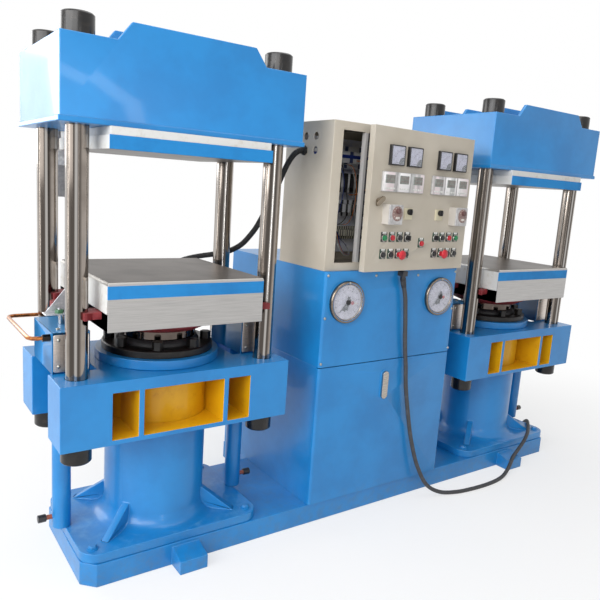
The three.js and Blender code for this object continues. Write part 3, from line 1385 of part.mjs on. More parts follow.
// Supply cable: down the front, along the floor, over station B's foot and round to the coil
const CABLE_ROUTE = [
  [25, -267, 924],
  [33, -267, 900],
  [40, -267, 872],
  [46, -266, 835],
  [52, -266, 790],
  [60, -265, 725],
  [70, -264, 660],
  [82, -264, 594],
  [92, -264, 520],
  [117, -266, 400],
  [149, -271, 270],
  [194, -283, 140],
  [246, -301, 52],
  [306, -322, 17],
  [380, -346, 9.6],
  [470, -360, 9.2],
  [580, -364, 9.2],
  [660, -357, 9.6],
  [716, -346, 15],
  [762, -333, 33],
  [800, -318, 52],
  [828, -304, 62],
  [866, -288, 66],
  [905, -274, 72],
  [945, -263, 86],
  [980, -254, 103],
  [1012, -242, 118],
  [1048, -222, 123],
  [1095, -192, 122],
  [1150, -152, 122],
  [1200, -110, 120],
  [1240, -66, 90],
  [1262, -20, 36],
  [1268, 46, 11],
  [1256, 140, 9.4],
  [1214, 248, 9.2],
  [1160, 325, 9.2],
];

// Coil lying behind the base: spirals in along the floor, climbs, and spirals out on top
function coilCurvePoints() {
  const pitch = 2 * CABLE_RADIUS + COIL_SPACING;
  const steps = Math.round(COIL_STEPS_PER_TURN * COIL_TURNS);
  const middle = COIL_TURNS / 2;
  const half = COIL_CLIMB_TURNS / 2;
  return Array.from({ length: steps + 1 }, (_, step) => {
    const turn = (step / steps) * COIL_TURNS;
    const radius = COIL_INNER_RADIUS + pitch * Math.abs(turn - middle);
    const climb = THREE.MathUtils.smoothstep(turn, middle - half, middle + half);
    const angle = turn * 2 * Math.PI;
    return new THREE.Vector3(
      COIL_CENTRE_X + radius * Math.cos(angle),
      COIL_CENTRE_Y + radius * Math.sin(angle),
      CABLE_RADIUS + FIT_GAP + pitch * climb,
    );
  });
}

// Least gap between turns, over pairs of points at least half a turn apart
function leastGap(points) {
  let least = Infinity;
  for (let i = 0; i < points.length; i += 1) {
    for (let j = i + COIL_STEPS_PER_TURN / 2; j < points.length; j += 1) {
      least = Math.min(least, points[i].distanceTo(points[j]) - 2 * CABLE_RADIUS);
    }
  }
  return least;
}

function cableCoil() {
  const points = coilCurvePoints();
  const [last, lastButOne] = [points[points.length - 1], points[points.length - 2]];
  const inward = points[1].clone().sub(points[0]).setLength(2 * CABLE_RADIUS);
  const outward = last.clone().sub(lastButOne).setLength(2 * CABLE_RADIUS);
  const all = [points[0].clone().sub(inward), ...points, last.clone().add(outward)];
  console.log(`coil least gap to itself: ${leastGap(all).toFixed(2)} mm`);
  const curve = new THREE.CatmullRomCurve3(all, false, 'centripetal');
  return ringTube(curve, Array(all.length).fill(CABLE_RADIUS), HEX_SIDES);
}

function supplyCable() {
  const points = coilCurvePoints();
  const inward = points[1].clone().sub(points[0]).setLength(2 * CABLE_RADIUS);
  const joint = points[0].clone().sub(inward).addScaledVector(inward, -FIT_GAP / (2 * CABLE_RADIUS));
  const before = joint.clone().sub(inward);
  const curve = new THREE.CatmullRomCurve3([
    new THREE.Vector3(ELBOW_X, cableY(), cableTop() - FIT_GAP),
    new THREE.Vector3(ELBOW_X, cableY(), cableTop() - FIT_GAP - CABLE_LEAD / 2),
    ...CABLE_ROUTE.map((point) => new THREE.Vector3(...point)),
    before.clone().sub(inward),
    before,
    joint,
  ], false, 'centripetal');
  console.log(`supply cable run: ${curve.getLength().toFixed(0)} mm`);
  return ringTube(curve, Array(CABLE_RINGS).fill(CABLE_RADIUS), HEX_SIDES);
}

// Assembly
addPiece(press, 'base_frame', baseFrame(), bluePaint);
press.add(station('a'));
press.add(station('b'));
addPiece(press, 'lower_cabinet', lowerHousing(), bluePaint);
addPiece(press, 'front_cover', frontCover(), bluePaint);
addPiece(press, 'cover_latch', coverLatch(), chromePlate, [LATCH_CENTRE_X, 0, LATCH_CENTRE_Z]);
addPiece(press, 'gauge_shroud', gaugeShroud(), bluePaint);
for (const [tag, side] of [['a', -1], ['b', 1]]) {
  const needle = addPiece(press, `gauge_needle_${tag}`, gaugeNeedle(), blackPlastic, [
    side * GAUGE_OFFSET, 0, GAUGE_HEIGHT,
  ]);
  needle.rotation.y = THREE.MathUtils.degToRad(NEEDLE_ZERO_DEG);
}
addPiece(press, 'upper_cabinet', upperCabinet(), beigePaint);
press.add(doorGroup());
addPiece(press, 'platen_conduit', platenConduit(), blackRubber);
addPiece(press, 'supply_cable', supplyCable(), greyRubber);
addPiece(press, 'cable_coil', cableCoil(), greyRubber);

export default press;
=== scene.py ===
"""Looks of a twin-station rubber vulcanizing press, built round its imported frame."""

import math

import bmesh
import bpy
import numpy as np
from mathutils import Matrix, Vector


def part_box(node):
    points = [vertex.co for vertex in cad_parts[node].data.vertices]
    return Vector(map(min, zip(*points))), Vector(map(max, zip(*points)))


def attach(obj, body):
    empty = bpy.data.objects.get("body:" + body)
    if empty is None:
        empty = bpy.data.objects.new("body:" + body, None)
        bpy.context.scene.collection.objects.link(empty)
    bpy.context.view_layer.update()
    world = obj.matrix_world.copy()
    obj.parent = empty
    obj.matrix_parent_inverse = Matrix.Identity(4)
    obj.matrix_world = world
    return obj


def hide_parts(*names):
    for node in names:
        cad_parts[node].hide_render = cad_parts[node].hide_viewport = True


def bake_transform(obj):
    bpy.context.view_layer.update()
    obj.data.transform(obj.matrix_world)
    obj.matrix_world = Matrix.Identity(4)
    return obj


bl_info = {
    "name": "Vulcanizing press looks",
    "version": (1, 0, 0),
    "blender": (4, 5, 0),
    "location": "3D View > Sidebar > Press",
    "description": "Finishes a twin-station vulcanizing press: enamel, chrome, instruments, cords and stage",
    "category": "Object",
}

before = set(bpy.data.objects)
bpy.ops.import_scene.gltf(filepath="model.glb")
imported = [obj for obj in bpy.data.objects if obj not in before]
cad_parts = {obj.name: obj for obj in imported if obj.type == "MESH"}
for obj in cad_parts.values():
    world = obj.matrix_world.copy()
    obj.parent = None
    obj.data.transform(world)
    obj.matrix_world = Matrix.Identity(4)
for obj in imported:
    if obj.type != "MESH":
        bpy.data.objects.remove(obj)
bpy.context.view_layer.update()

# Places of the machine, in metres, as in the part's own layout
STATION_X = {"a": -0.876, "b": 0.876}
PILLAR_X = 0.325
PILLAR_Y = 0.170
CROSSHEAD_DECK = 1.643
BEAM_BOTTOM = 0.472
UPPER_PLATEN_BOTTOM = 1.351
HOUSING_FRONT = -0.247
HINGE = (0.3543, -0.240)
AJAR = math.radians(4)
DOOR_FRONT = -0.021
CLUSTER_X = -0.278
GAUGE_X = 0.245
GAUGE_Z = 0.874

DOOR_PLACE = Matrix.Translation((HINGE[0], HINGE[1], 0)) @ Matrix.Rotation(AJAR, 4, "Z")
SCREW_DOME = [(0.0001, 0.0032), (0.0028, 0.003), (0.0047, 0.002), (0.0055, 0.0006), (0.0055, -0.001)]
SCREW_DOME_BACK = [(radius, -height) for radius, height in SCREW_DOME]
ENDS = ("front", "back")
SIDES = ("left", "right")


# Shader maths


class Val:
    """A shader socket; arithmetic on it adds Math nodes."""

    def __init__(self, paint, socket):
        self.paint = paint
        self.socket = socket

    def _math(self, operation, other, swap=False):
        """A Math node on this value and another, in that order unless swapped."""
        pair = [other, self] if swap else [self, other]
        return self.paint.node("ShaderNodeMath", {"operation": operation}, {0: pair[0], 1: pair[1]})

    def __add__(self, other):
        return self._math("ADD", other)

    __radd__ = __add__

    def __sub__(self, other):
        return self._math("SUBTRACT", other)

    def __rsub__(self, other):
        return self._math("SUBTRACT", other, swap=True)

    def __mul__(self, other):
        return self._math("MULTIPLY", other)

    __rmul__ = __mul__

    def __truediv__(self, other):
        return self._math("DIVIDE", other)

    def __rtruediv__(self, other):
        return self._math("DIVIDE", other, swap=True)

    def __pow__(self, other):
        return self._math("POWER", other)

    def __gt__(self, other):
        return self._math("GREATER_THAN", other)

    def __lt__(self, other):
        return self._math("LESS_THAN", other)

    def __abs__(self):
        return self.paint.node("ShaderNodeMath", {"operation": "ABSOLUTE"}, {0: self})

    def sign(self):
        """-1 below nothing and 1 above it."""
        return self.paint.node("ShaderNodeMath", {"operation": "SIGN"}, {0: self})

    def turn(self, other):
        """Angle of the point (other, self) about the origin."""
        return self._math("ARCTAN2", other)

    def between(self, low, high):
        """1 from low to high, 0 outside."""
        return (self > low) * (self < high)

    def least(self, other):
        """The lower of two values."""
        return self._math("MINIMUM", other)

    def most(self, other):
        """The higher of two values."""
        return self._math("MAXIMUM", other)

    def ramp(self, low, high, to_low=0.0, to_high=1.0):
        """Smooth step from to_low below low to to_high above high."""
        return self.paint.node(
            "ShaderNodeMapRange", {"interpolation_type": "SMOOTHSTEP"},
            {"Value": self, "From Min": low, "From Max": high, "To Min": to_low, "To Max": to_high},
        )


class Tree:
    """A node tree, with the one method that adds nodes to it."""

    def __init__(self, tree):
        self.tree = tree

    def node(self, kind, settings=None, inputs=None, output=0):
        """Adds a node: settings first, then values or links of its sockets; gives one output."""
        made = self.tree.nodes.new(kind)
        for key, value in (settings or {}).items():
            setattr(made, key, value)
        for key, value in (inputs or {}).items():
            self.feed(made.inputs[key], value)
        return Val(self, made.outputs[output])

    def feed(self, socket, value):
        """Links a shader value to a socket, or sets a plain one."""
        if isinstance(value, Val):
            self.tree.links.new(value.socket, socket)
        else:
            socket.default_value = value

    def seen_directly(self):
        """1 for rays from the camera, from a reflection or through glass; 0 for light that fills."""
        camera, glossy, through = (
            self.node("ShaderNodeLightPath", output=kind)
            for kind in ("Is Camera Ray", "Is Glossy Ray", "Is Transmission Ray"))
        return camera.most(glossy).most(through)


class Paint(Tree):
    """One procedural material: its node tree, its object coordinates and its Principled shader."""

    def __init__(self, name):
        self.material = bpy.data.materials.new(name)
        self.material.use_nodes = True
        super().__init__(self.material.node_tree)
        self.shader = self.tree.nodes["Principled BSDF"]
        self.where = self.node("ShaderNodeTexCoord", output="Object")
        split = self.node("ShaderNodeSeparateXYZ", None, {0: self.where})
        self.x, self.y, self.z = (Val(self, socket) for socket in split.socket.node.outputs)

    def noise(self, scale, detail=3.0, roughness=0.5, where=None, stretch=None):
        """Noise from 0 to 1, with scale in features per metre; stretch scales each axis."""
        where = where or self.where
        if stretch:
            where = self.node("ShaderNodeVectorMath", {"operation": "MULTIPLY"}, {0: where, 1: stretch})
        return self.node(
            "ShaderNodeTexNoise", None,
            {"Vector": where, "Scale": scale, "Detail": detail, "Roughness": roughness},
        )

    def cells(self, scale):
        """Distance to the nearest of scattered points, with scale in points per metre."""
        return self.node("ShaderNodeTexVoronoi", {"feature": "F1"}, {"Vector": self.where, "Scale": scale})

    def sine(self, value, pitch):
        """Wave from 0 to 1 that repeats each pitch of value."""
        turned = self.node("ShaderNodeMath", {"operation": "SINE"}, {0: value * (2 * math.pi / pitch)})
        return turned * 0.5 + 0.5

    def mix(self, share, first, second):
        """Colour mix: first at share 0, second at share 1."""
        return self.node(
            "ShaderNodeMix", {"data_type": "RGBA"}, {0: share, 6: first, 7: second}, 2,
        )

    def level(self, share, first, second):
        """Plain value: first at share 0, second at share 1."""
        return self.node("ShaderNodeMix", {"data_type": "FLOAT"}, {0: share, 2: first, 3: second})

    def colour(self, value):
        """Sets or links the base colour."""
        self.feed(self.shader.inputs["Base Color"], value)

    def rough(self, value):
        """Sets or links the roughness."""
        self.feed(self.shader.inputs["Roughness"], value)

    def metal(self, value):
        """Sets or links the share of bare metal."""
        self.feed(self.shader.inputs["Metallic"], value)

    def set(self, **values):
        """Sets other inputs of the shader by their names in small letters."""
        for key, value in values.items():
            self.shader.inputs[key.replace("_", " ").title().replace("Ior", "IOR")].default_value = value

    def bump(self, height, distance, strength=1.0):
        """Relief: height from 0 to 1 over distance metres."""
        made = self.node(
            "ShaderNodeBump", None, {"Height": height, "Distance": distance, "Strength": strength})
        self.feed(self.shader.inputs["Normal"], made)


def tone(red, green, blue, alpha=1.0):
    """Screen colour from 0 to 255 as linear light."""
    parts = []
    for value in (red, green, blue):
        share = value / 255
        parts.append(share / 12.92 if share <= 0.04045 else ((share + 0.055) / 1.055) ** 2.4)
    return (*parts, alpha)


def chosen_colour(name, description, value):
    """A colour setting."""
    return bpy.props.FloatVectorProperty(
        name=name, description=description, size=4, subtype="COLOR", default=value, min=0.0, max=1.0)


def chosen_length(name, description, value):
    """A length setting in metres."""
    return bpy.props.FloatProperty(
        name=name, description=description, default=value, unit="LENGTH", subtype="DISTANCE")


def chosen_power(name, description, value):
    """A light's power setting in watts."""
    return bpy.props.FloatProperty(name=name, description=description, default=value, unit="POWER")


# Finishes

BOARD = tone(208, 208, 206)
BOARD_GRIMY = tone(186, 180, 168)

# Where one part's paint changes: heights, distances from a station's middle and depths, in metres
WINDOW_HEIGHTS = (0.4872, 0.6378)
WINDOW_HALF = 0.2386
WINDOW_DEPTH = 0.2447
BEAM_HEIGHTS = (0.476, 0.672)
FLANGE_RIM = (0.108, 0.1115)
HEAD_RIM = (0.8042, 0.8075)
COCK_HEIGHTS = (0.11, 0.18)
COCK_FROM = 0.3565
KNOB_FROM = 0.374
PIPE_FROM_X = -1.2575
PIPE_FROM_Y = 0.2255
ELBOW_X = (0.003, 0.029)
ELBOW_FRONT = -0.2475
ELBOW_HEIGHTS = (0.956, 0.9875)
INSIDE_HALF = 0.3135
INSIDE_DEPTHS = (-0.045, 0.0515)
INSIDE_HEIGHTS = (1.022, 1.486)
DEVICE_FRONT = 0.0435
BREAKERS = (1.368, 1.46)
BREAKER_BAND = (1.405, 1.418)
CONTACTORS = (1.27, 1.35)
RELAYS = (1.17, 1.246)
TERMINALS = (1.075, 1.14)
POST_X = (-0.2055, -0.186)
POST_SHADE_FROM = -0.1925
POST_DEPTHS = (-0.235, -0.2135)
POST_HEIGHTS = (1.0205, 1.4875)
GLAND_FROM_X = -0.3502
GLAND_FROM_Z = 1.38
PLATE_HEIGHTS = (1.185, 1.231)
TIMER_HEIGHTS = (1.16, 1.25)
CONTROLLER_HEIGHTS = (1.283, 1.361)
DOOR_INSIDE = (-0.5725, -0.0095)
DOOR_INSIDE_DEPTH = -0.0172
DOOR_INSIDE_HEIGHTS = (0.9958, 1.5102)
ROD_RADIUS = 0.0105
ROD_TOP = 0.8575
STRIP_HEIGHT = 0.0392
UPPER_EDGE = 0.2642
GUARD_TOP = 0.9655
GUARD_BOTTOM = (0.9215, 0.9262)
GUARD_DEPTH = 0.2545
BOARD_FROM = 0.2605
BOARD_DEPTH = 0.2575
SHEET_TOP = 0.9718
RIM_TOP = 0.9755
TAIL_FROM = 0.2595


class PressFinishSettings(bpy.types.PropertyGroup):
    """Colours of the paints."""

    enamel: chosen_colour("Enamel", "Blue machine enamel", tone(20, 130, 198))
    enamel_deep: chosen_colour("Enamel, deeper", "Blue where the enamel lies thicker", tone(16, 118, 184))
    primer: chosen_colour("Primer", "Ochre primer inside the lower beams", tone(216, 166, 6))
    primer_stain: chosen_colour("Primer stain", "Rust that shows through the primer", tone(190, 132, 14))
    coat: chosen_colour("Cabinet coat", "Beige powder coat of the cabinet", tone(190, 182, 168))
    coat_deep: chosen_colour("Cabinet coat, deeper", "Beige where the coat is darker", tone(180, 171, 156))
    table: chosen_colour("Table paint", "Oxide red of the moving tables", tone(132, 40, 45))


def shade(name):
    """A paint colour from the settings."""
    return getattr(bpy.context.scene.press_finish, name)[:]


def station_x(paint):
    """Distance along X from the nearer station's centre line."""
    return abs(abs(paint.x) - STATION_X["b"])


def enamel(name, extra=None):
    """Bright blue machine enamel over a faint roller texture; extra paints other zones over it."""
    paint = Paint(name)
    cloud = paint.noise(5.0, 4.0, 0.6)
    fine = paint.noise(260.0, 3.0, 0.55)
    base = paint.mix(cloud.ramp(0.35, 0.7), shade("enamel"), shade("enamel_deep"))
    dust = paint.z.ramp(0.0, 0.16, 0.35, 0.0) * paint.noise(30.0, 5.0, 0.65).ramp(0.4, 0.75)
    base = paint.mix(dust, base, tone(92, 100, 104))
    rough = 0.3 + cloud * 0.12 + fine * 0.06
    metal = 0.0
    if extra:
        base, rough, metal = extra(paint, base, rough)
    paint.colour(base)
    paint.rough(rough)
    paint.metal(metal)
    paint.set(coat_weight=0.3, coat_roughness=0.08)
    paint.bump(fine * 0.6 + paint.noise(55.0, 2.0) * 0.4, 0.00035, 0.35)
    return paint.material


def ochre(paint, scale):
    """Ochre primer with rust stains of a given scale."""
    stain = paint.noise(scale, 5.0, 0.7).ramp(0.5, 0.78) * 0.6
    return paint.mix(stain, shade("primer"), shade("primer_stain"))


def pocket_ochre(paint, base, rough):
    """Ochre primer inside the beam's windows, with scattered rust stains."""
    inside = (abs(paint.y) < WINDOW_DEPTH) * paint.z.between(*WINDOW_HEIGHTS)
    inside = inside * (station_x(paint) < WINDOW_HALF)
    return paint.mix(inside, base, ochre(paint, 24.0)), rough + inside * 0.1, 0.0


def cylinder_zones(paint, base, rough):
    """Ochre wall where the beam surrounds the cylinder, and a painted sheen on top of the foot flange."""
    inside = paint.z.between(*BEAM_HEIGHTS)
    base = paint.mix(inside, base, ochre(paint, 20.0))
    # Painted sheen: lighter blue in patches on the top face of the foot flange.
    painted_sheen = paint.z.between(*FLANGE_RIM) * paint.noise(14.0, 4.0, 0.7).ramp(0.45, 0.8)
    base = paint.mix(painted_sheen * 0.4, base, tone(120, 178, 214))
    return base, rough + inside * 0.1, 0.0


def side_cylinder_zones(paint, base, rough):
    """Painted sheen on the top of the head block, red and black cock, copper pipe with black fittings."""
    # Painted sheen: the whole top face of the head block a little lighter blue.
    top = paint.z.between(*HEAD_RIM)
    base = paint.mix(top * 0.3, base, tone(128, 186, 220))
    cock = paint.z.between(*COCK_HEIGHTS) * (station_x(paint) > COCK_FROM)
    knob = cock * (station_x(paint) > KNOB_FROM)
    base = paint.mix(cock, base, tone(150, 74, 48))
    base = paint.mix(knob, base, tone(28, 27, 28))
    outside = (paint.x < PIPE_FROM_X) * (paint.z > 0.7) + (paint.y > PIPE_FROM_Y) * (paint.z > 0.676)
    outside = outside.least(1.0)
    front_nut = (paint.x > PIPE_FROM_X - 0.024) * (paint.y < 0.0)
    back_nut = (paint.z < 0.6992) * (paint.y > 0.2)
    nut = outside * front_nut.most(back_nut)
    patina = paint.noise(60.0, 4.0, 0.6)
    copper = paint.mix(patina.ramp(0.4, 0.7), tone(196, 124, 66), tone(150, 86, 48))
    base = paint.mix(outside, base, copper)
    base = paint.mix(nut, base, tone(36, 34, 33))
    metal = outside * 0.95
    return base, paint.level(outside, rough, 0.22), metal


def shroud_zones(paint, base, rough):
    """Black elbow and nut of the cable's exit under the door."""
    elbow = paint.x.between(*ELBOW_X) * (paint.y < ELBOW_FRONT) * paint.z.between(*ELBOW_HEIGHTS)
    return paint.mix(elbow, base, tone(34, 34, 37)), rough + elbow * 0.15, 0.0


def powder_coat(name, extra=None):
    """Satin beige powder coat with a fine leathery grain."""
    paint = Paint(name)
    grain = paint.noise(420.0, 2.0, 0.5)
    cloud = paint.noise(4.0, 3.0, 0.6)
    base = paint.mix(cloud.ramp(0.35, 0.7), shade("coat"), shade("coat_deep"))
    rough = 0.42 + grain * 0.12
    metal = 0.0
    if extra:
        base, rough, metal = extra(paint, base, rough)
    paint.colour(base)
    paint.rough(rough)
    paint.metal(metal)
    paint.bump(grain, 0.00025, 0.45)
    return paint.material


def switchgear_zones(paint, base, rough):
    """Colours of the mounting plate and its rows of devices inside the cabinet, and painted shade on the
    post beside the opening.
    """
    inside = paint.y.between(*INSIDE_DEPTHS) * (abs(paint.x) < INSIDE_HALF)
    inside = inside * paint.z.between(*INSIDE_HEIGHTS)
    plate = paint.mix(paint.noise(40.0, 3.0).ramp(0.4, 0.7), tone(244, 246, 255), tone(228, 232, 252))
    base = paint.mix(inside, base, plate)
    device = inside * (paint.y < DEVICE_FRONT)
    unit = paint.sine(paint.x, 0.0745)
    breakers = device * paint.z.between(*BREAKERS)
    base = paint.mix(breakers, base, paint.mix(unit > 0.12, tone(70, 84, 130), tone(232, 234, 238)))
    base = paint.mix(breakers * paint.z.between(*BREAKER_BAND), base, tone(34, 60, 150))
    contactors = device * paint.z.between(*CONTACTORS)
    light_dark = paint.mix(paint.sine(paint.x, 0.033) > 0.24, tone(240, 242, 246), tone(44, 44, 48))
    base = paint.mix(contactors, base, light_dark)
    relays = device * paint.z.between(*RELAYS)
    dark_light = paint.mix(paint.sine(paint.x, 0.028) > 0.3, tone(60, 62, 68), tone(240, 242, 248))
    base = paint.mix(relays, base, dark_light)
    terminals = device * paint.z.between(*TERMINALS)
    rows = paint.mix(paint.sine(paint.x, 0.012) > 0.3, tone(92, 90, 88), tone(226, 222, 208))
    base = paint.mix(terminals, base, rows)
    # Painted shade: the post's part towards the door is dark, so that it reads as the shaded gap beside the
    # door; the rest is its own pale grey.
    post = paint.x.between(*POST_X) * paint.y.between(*POST_DEPTHS) * paint.z.between(*POST_HEIGHTS)
    base = paint.mix(post, base, paint.mix(paint.x > POST_SHADE_FROM, tone(176, 174, 172), tone(60, 60, 66)))
    gland = (paint.x < GLAND_FROM_X) * (paint.z > GLAND_FROM_Z)
    base = paint.mix(gland, base, tone(26, 26, 27))
    return base, rough, 0.0


def door_zones(paint, base, rough):
    """Black instrument bodies in front of the sheet, grey ones behind it, in the door's own axes."""
    near_x = paint.x - HINGE[0]
    near_y = paint.y - HINGE[1]
    across = near_x * math.cos(AJAR) + near_y * math.sin(AJAR)
    depth = near_y * math.cos(AJAR) - near_x * math.sin(AJAR)
    proud = (depth < DOOR_FRONT - 0.0004) * (across < -0.012)
    plates = proud * paint.z.between(*PLATE_HEIGHTS) * (abs(across - CLUSTER_X) < 0.12)
    timers = proud * paint.z.between(*TIMER_HEIGHTS) * (abs(across - CLUSTER_X) > 0.14)
    controllers = proud * paint.z.between(*CONTROLLER_HEIGHTS)
    base = paint.mix(proud, base, tone(24, 24, 25))
    base = paint.mix(plates, base, tone(206, 198, 170))
    base = paint.mix(timers, base, tone(188, 182, 174))
    base = paint.mix(controllers, base, tone(150, 148, 144))
    rear = (depth > DOOR_INSIDE_DEPTH) * across.between(*DOOR_INSIDE)
    rear = rear * paint.z.between(*DOOR_INSIDE_HEIGHTS)
    base = paint.mix(rear, base, tone(120, 118, 112))
    return base, rough - proud * 0.15, 0.0


def round_pillar(paint):
    """Angle about the nearest pillar's own axis."""
    beside = paint.x - paint.x.sign() * STATION_X["b"]
    beside = beside - beside.sign() * PILLAR_X
    return (paint.y - paint.y.sign() * PILLAR_Y).turn(beside)


def chrome(name, pillars=False):
    """Hard chrome with fine turning marks; pillars carry painted reflections along them, dark bands and a
    bright highlight line, and black nuts.
    """
    paint = Paint(name)
    rings = paint.noise(1.0, 2.0, 0.5, stretch=(6.0, 6.0, 900.0))
    haze = paint.noise(9.0, 3.0, 0.6)
    base = paint.mix(haze.ramp(0.4, 0.7), tone(104, 94, 88), tone(84, 75, 70))
    rough = 0.08 + haze * 0.08
    metal = 1.0
    if pillars:
        base = paint.mix(haze.ramp(0.4, 0.7), tone(158, 149, 141), tone(140, 131, 123))
        # Painted reflection: dark bands at fixed angles round each pillar, standing in for reflected
        # surroundings.
        painted_reflection_bands = paint.sine(round_pillar(paint) + 0.42 + haze * 0.03, math.radians(120))
        base = paint.mix(painted_reflection_bands.ramp(0.3, 0.75), base, tone(84, 78, 73))
        # Painted highlight: a bright line at a fixed angle round each pillar.
        painted_highlight_line = paint.sine(round_pillar(paint) + 0.08, math.radians(60)).ramp(0.75, 1.0)
        base = paint.mix(painted_highlight_line * 0.6, base, tone(214, 210, 206))
        black = (paint.z > CROSSHEAD_DECK + 0.0002).most(paint.z < BEAM_BOTTOM - 0.0002)
        base = paint.mix(black, base, oiled_black(paint))
        rough = paint.level(black, rough, 0.24)
        metal = 1.0 - black * 0.9
    paint.colour(base)
    paint.rough(rough)
    paint.metal(metal)
    paint.bump(rings, 0.00004, 0.08)
    return paint.material


def oiled_black(paint):
    """Near black with browner clouds of oil."""
    return paint.mix(paint.noise(45.0, 4.0, 0.6).ramp(0.45, 0.75), tone(16, 15, 15), tone(40, 35, 31))


def black_steel(name):
    """Blackened steel with an oily film."""
    paint = Paint(name)
    paint.colour(oiled_black(paint))
    paint.metal(0.3)
    paint.rough(0.26 + paint.noise(30.0, 4.0) * 0.22)
    paint.bump(paint.noise(300.0, 3.0), 0.0001, 0.3)
    return paint.material


def table_paint(name):
    """Oxide red on the moving table; its side rods are chromed."""
    paint = Paint(name)
    cloud = paint.noise(9.0, 4.0, 0.6)
    red = paint.mix(cloud.ramp(0.35, 0.7), shade("table"), tone(108, 32, 36))
    off = station_x(paint) - PILLAR_X
    rod = ((off * off + paint.y * paint.y) ** 0.5 < ROD_RADIUS) * (paint.z < ROD_TOP)
    paint.colour(paint.mix(rod, red, tone(200, 200, 200)))
    paint.metal(rod)
    paint.rough(0.5 - rod * 0.36 + cloud * 0.1)
    paint.bump(paint.noise(160.0, 3.0), 0.0003, 0.3)
    return paint.material


def platen_finish(name, upper):
    """Ground heating plate, pale insulation, blue front strip and brushed guard sheet."""
    paint = Paint(name)
    grind = paint.noise(1.0, 3.0, 0.6, stretch=(900.0, 14.0, 900.0))
    brushed = paint.noise(1.0, 3.0, 0.6, stretch=(9.0, 1100.0, 1100.0))
    heat = paint.noise(7.0, 4.0, 0.6)
    steel = paint.mix(heat.ramp(0.4, 0.75), tone(87, 78, 70), tone(69, 61, 54))
    grime = paint.noise(26.0, 5.0, 0.65).ramp(0.5, 0.8)
    board = paint.mix(grime, BOARD, BOARD_GRIMY)
    strip_blue = paint.mix(heat.ramp(0.4, 0.7), shade("enamel"), shade("enamel_deep"))
    if upper:
        strip_top = UPPER_PLATEN_BOTTOM + STRIP_HEIGHT
        pale = (paint.z > strip_top).most(station_x(paint) > UPPER_EDGE)
        strip = (paint.y < -UPPER_EDGE) * (paint.z < strip_top)
        sheet = strip * 0.0
    else:
        rim = (paint.z > GUARD_TOP).most(paint.z.between(*GUARD_BOTTOM))
        pale = (station_x(paint) > BOARD_FROM) * (abs(paint.y) < BOARD_DEPTH) * (paint.z < GUARD_TOP)
        strip = (paint.y < -GUARD_DEPTH) * paint.z.between(GUARD_BOTTOM[1], GUARD_TOP)
        sheet = (abs(paint.y) > GUARD_DEPTH) * (1.0 - strip) * (paint.z < SHEET_TOP)
        pale = pale * (1.0 - sheet)
        steel = paint.mix(rim * (paint.z < RIM_TOP), steel, tone(200, 197, 192))
    bright = paint.mix(brushed.ramp(0.3, 0.7), tone(190, 188, 186), tone(168, 166, 164))
    base = paint.mix(sheet, steel, bright)
    base = paint.mix(pale, base, board)
    base = paint.mix(strip, base, strip_blue)
    tail = paint.y > TAIL_FROM
    base = paint.mix(tail, base, tone(120, 96, 60))
    metal = 1.0 - pale.most(strip)
    paint.colour(base)
    paint.metal(metal * 0.9)
    paint.rough(0.6 - metal * 0.26 + heat * 0.08)
    paint.bump(grind * 0.5 + brushed * 0.5, 0.00006, 0.4)
    return paint.material


def moulded(name, colour, rough=0.32, grain=0.3):
    """Moulded plastic with a fine spark-eroded grain."""
    paint = Paint(name)
    mottled = paint.noise(80.0, 3.0)
    deep = (*[part * 0.72 for part in colour[:3]], 1.0)
    paint.colour(paint.mix(mottled.ramp(0.3, 0.75), colour, deep))
    paint.rough(rough + mottled * 0.1)
    paint.bump(paint.noise(1500.0, 2.0), 0.00006, grain)
    return paint.material


def rubber(name, colour, rough=0.6):
    """Matt rubber with a dusty bloom."""
    paint = Paint(name)
    bloom = paint.noise(35.0, 5.0, 0.65)
    pale = tuple(min(part * 2.2 + 0.02, 1.0) for part in colour[:3]) + (1.0,)
    paint.colour(paint.mix(bloom.ramp(0.45, 0.8) * 0.6, colour, pale))
    paint.rough(rough + bloom * 0.15)
    paint.bump(paint.noise(900.0, 3.0), 0.0001, 0.35)
    return paint.material


def metal_finish(name, colour, rough=0.25, stretch=(60.0, 60.0, 600.0)):
    """Bare worked metal with directional marks."""
    paint = Paint(name)
    marks = paint.noise(1.0, 3.0, 0.6, stretch=stretch)
    worn = (*[part * 0.7 for part in colour[:3]], 1.0)
    paint.colour(paint.mix(marks.ramp(0.35, 0.75), colour, worn))
    paint.metal(1.0)
    paint.rough(rough + marks * 0.12)
    paint.bump(marks, 0.00005, 0.4)
    return paint.material


def front_film(name):
    """Pale glossy front film with a soft grey tint that changes from one instrument to the next."""
    paint = Paint(name)
    sway = paint.noise(9.0, 1.0, 0.4, stretch=(1.0, 1.0, 0.15))
    blush = paint.mix(sway.ramp(0.42, 0.62), tone(236, 234, 234), tone(222, 208, 210))
    band = paint.noise(24.0, 1.0, 0.4, stretch=(1.0, 1.0, 0.1)).ramp(0.56, 0.66)
    paint.colour(paint.mix(band * 0.6, blush, tone(128, 134, 130)))
    paint.rough(0.1 + sway * 0.08)
    return paint.material


def galvanised(name):
    """Zinc-coated sheet with faint spangle."""
    paint = Paint(name)
    spangle = paint.cells(90.0)
    paint.colour(paint.mix(spangle.ramp(0.1, 0.7), tone(216, 217, 220), tone(186, 188, 194)))
    paint.metal(0.7)
    paint.rough(0.32 + spangle * 0.2)
    return paint.material


def pane(name):
    """Thin clear instrument window: gloss with very little colour of its own."""
    paint = Paint(name)
    smear = paint.noise(30.0, 4.0, 0.6)
    paint.colour(tone(225, 230, 238))
    paint.rough(0.03 + smear * 0.06)
    paint.feed(paint.shader.inputs["Alpha"], 0.12 + smear * 0.1)
    paint.set(ior=1.5)
    return paint.material


# Finishes made so far, by name
FINISH = {}


def finish(name):
    """The named finish, made once."""
    if name not in FINISH:
        maker, *values = MAKERS[name]
        FINISH[name] = maker(name, *values)
    return FINISH[name]


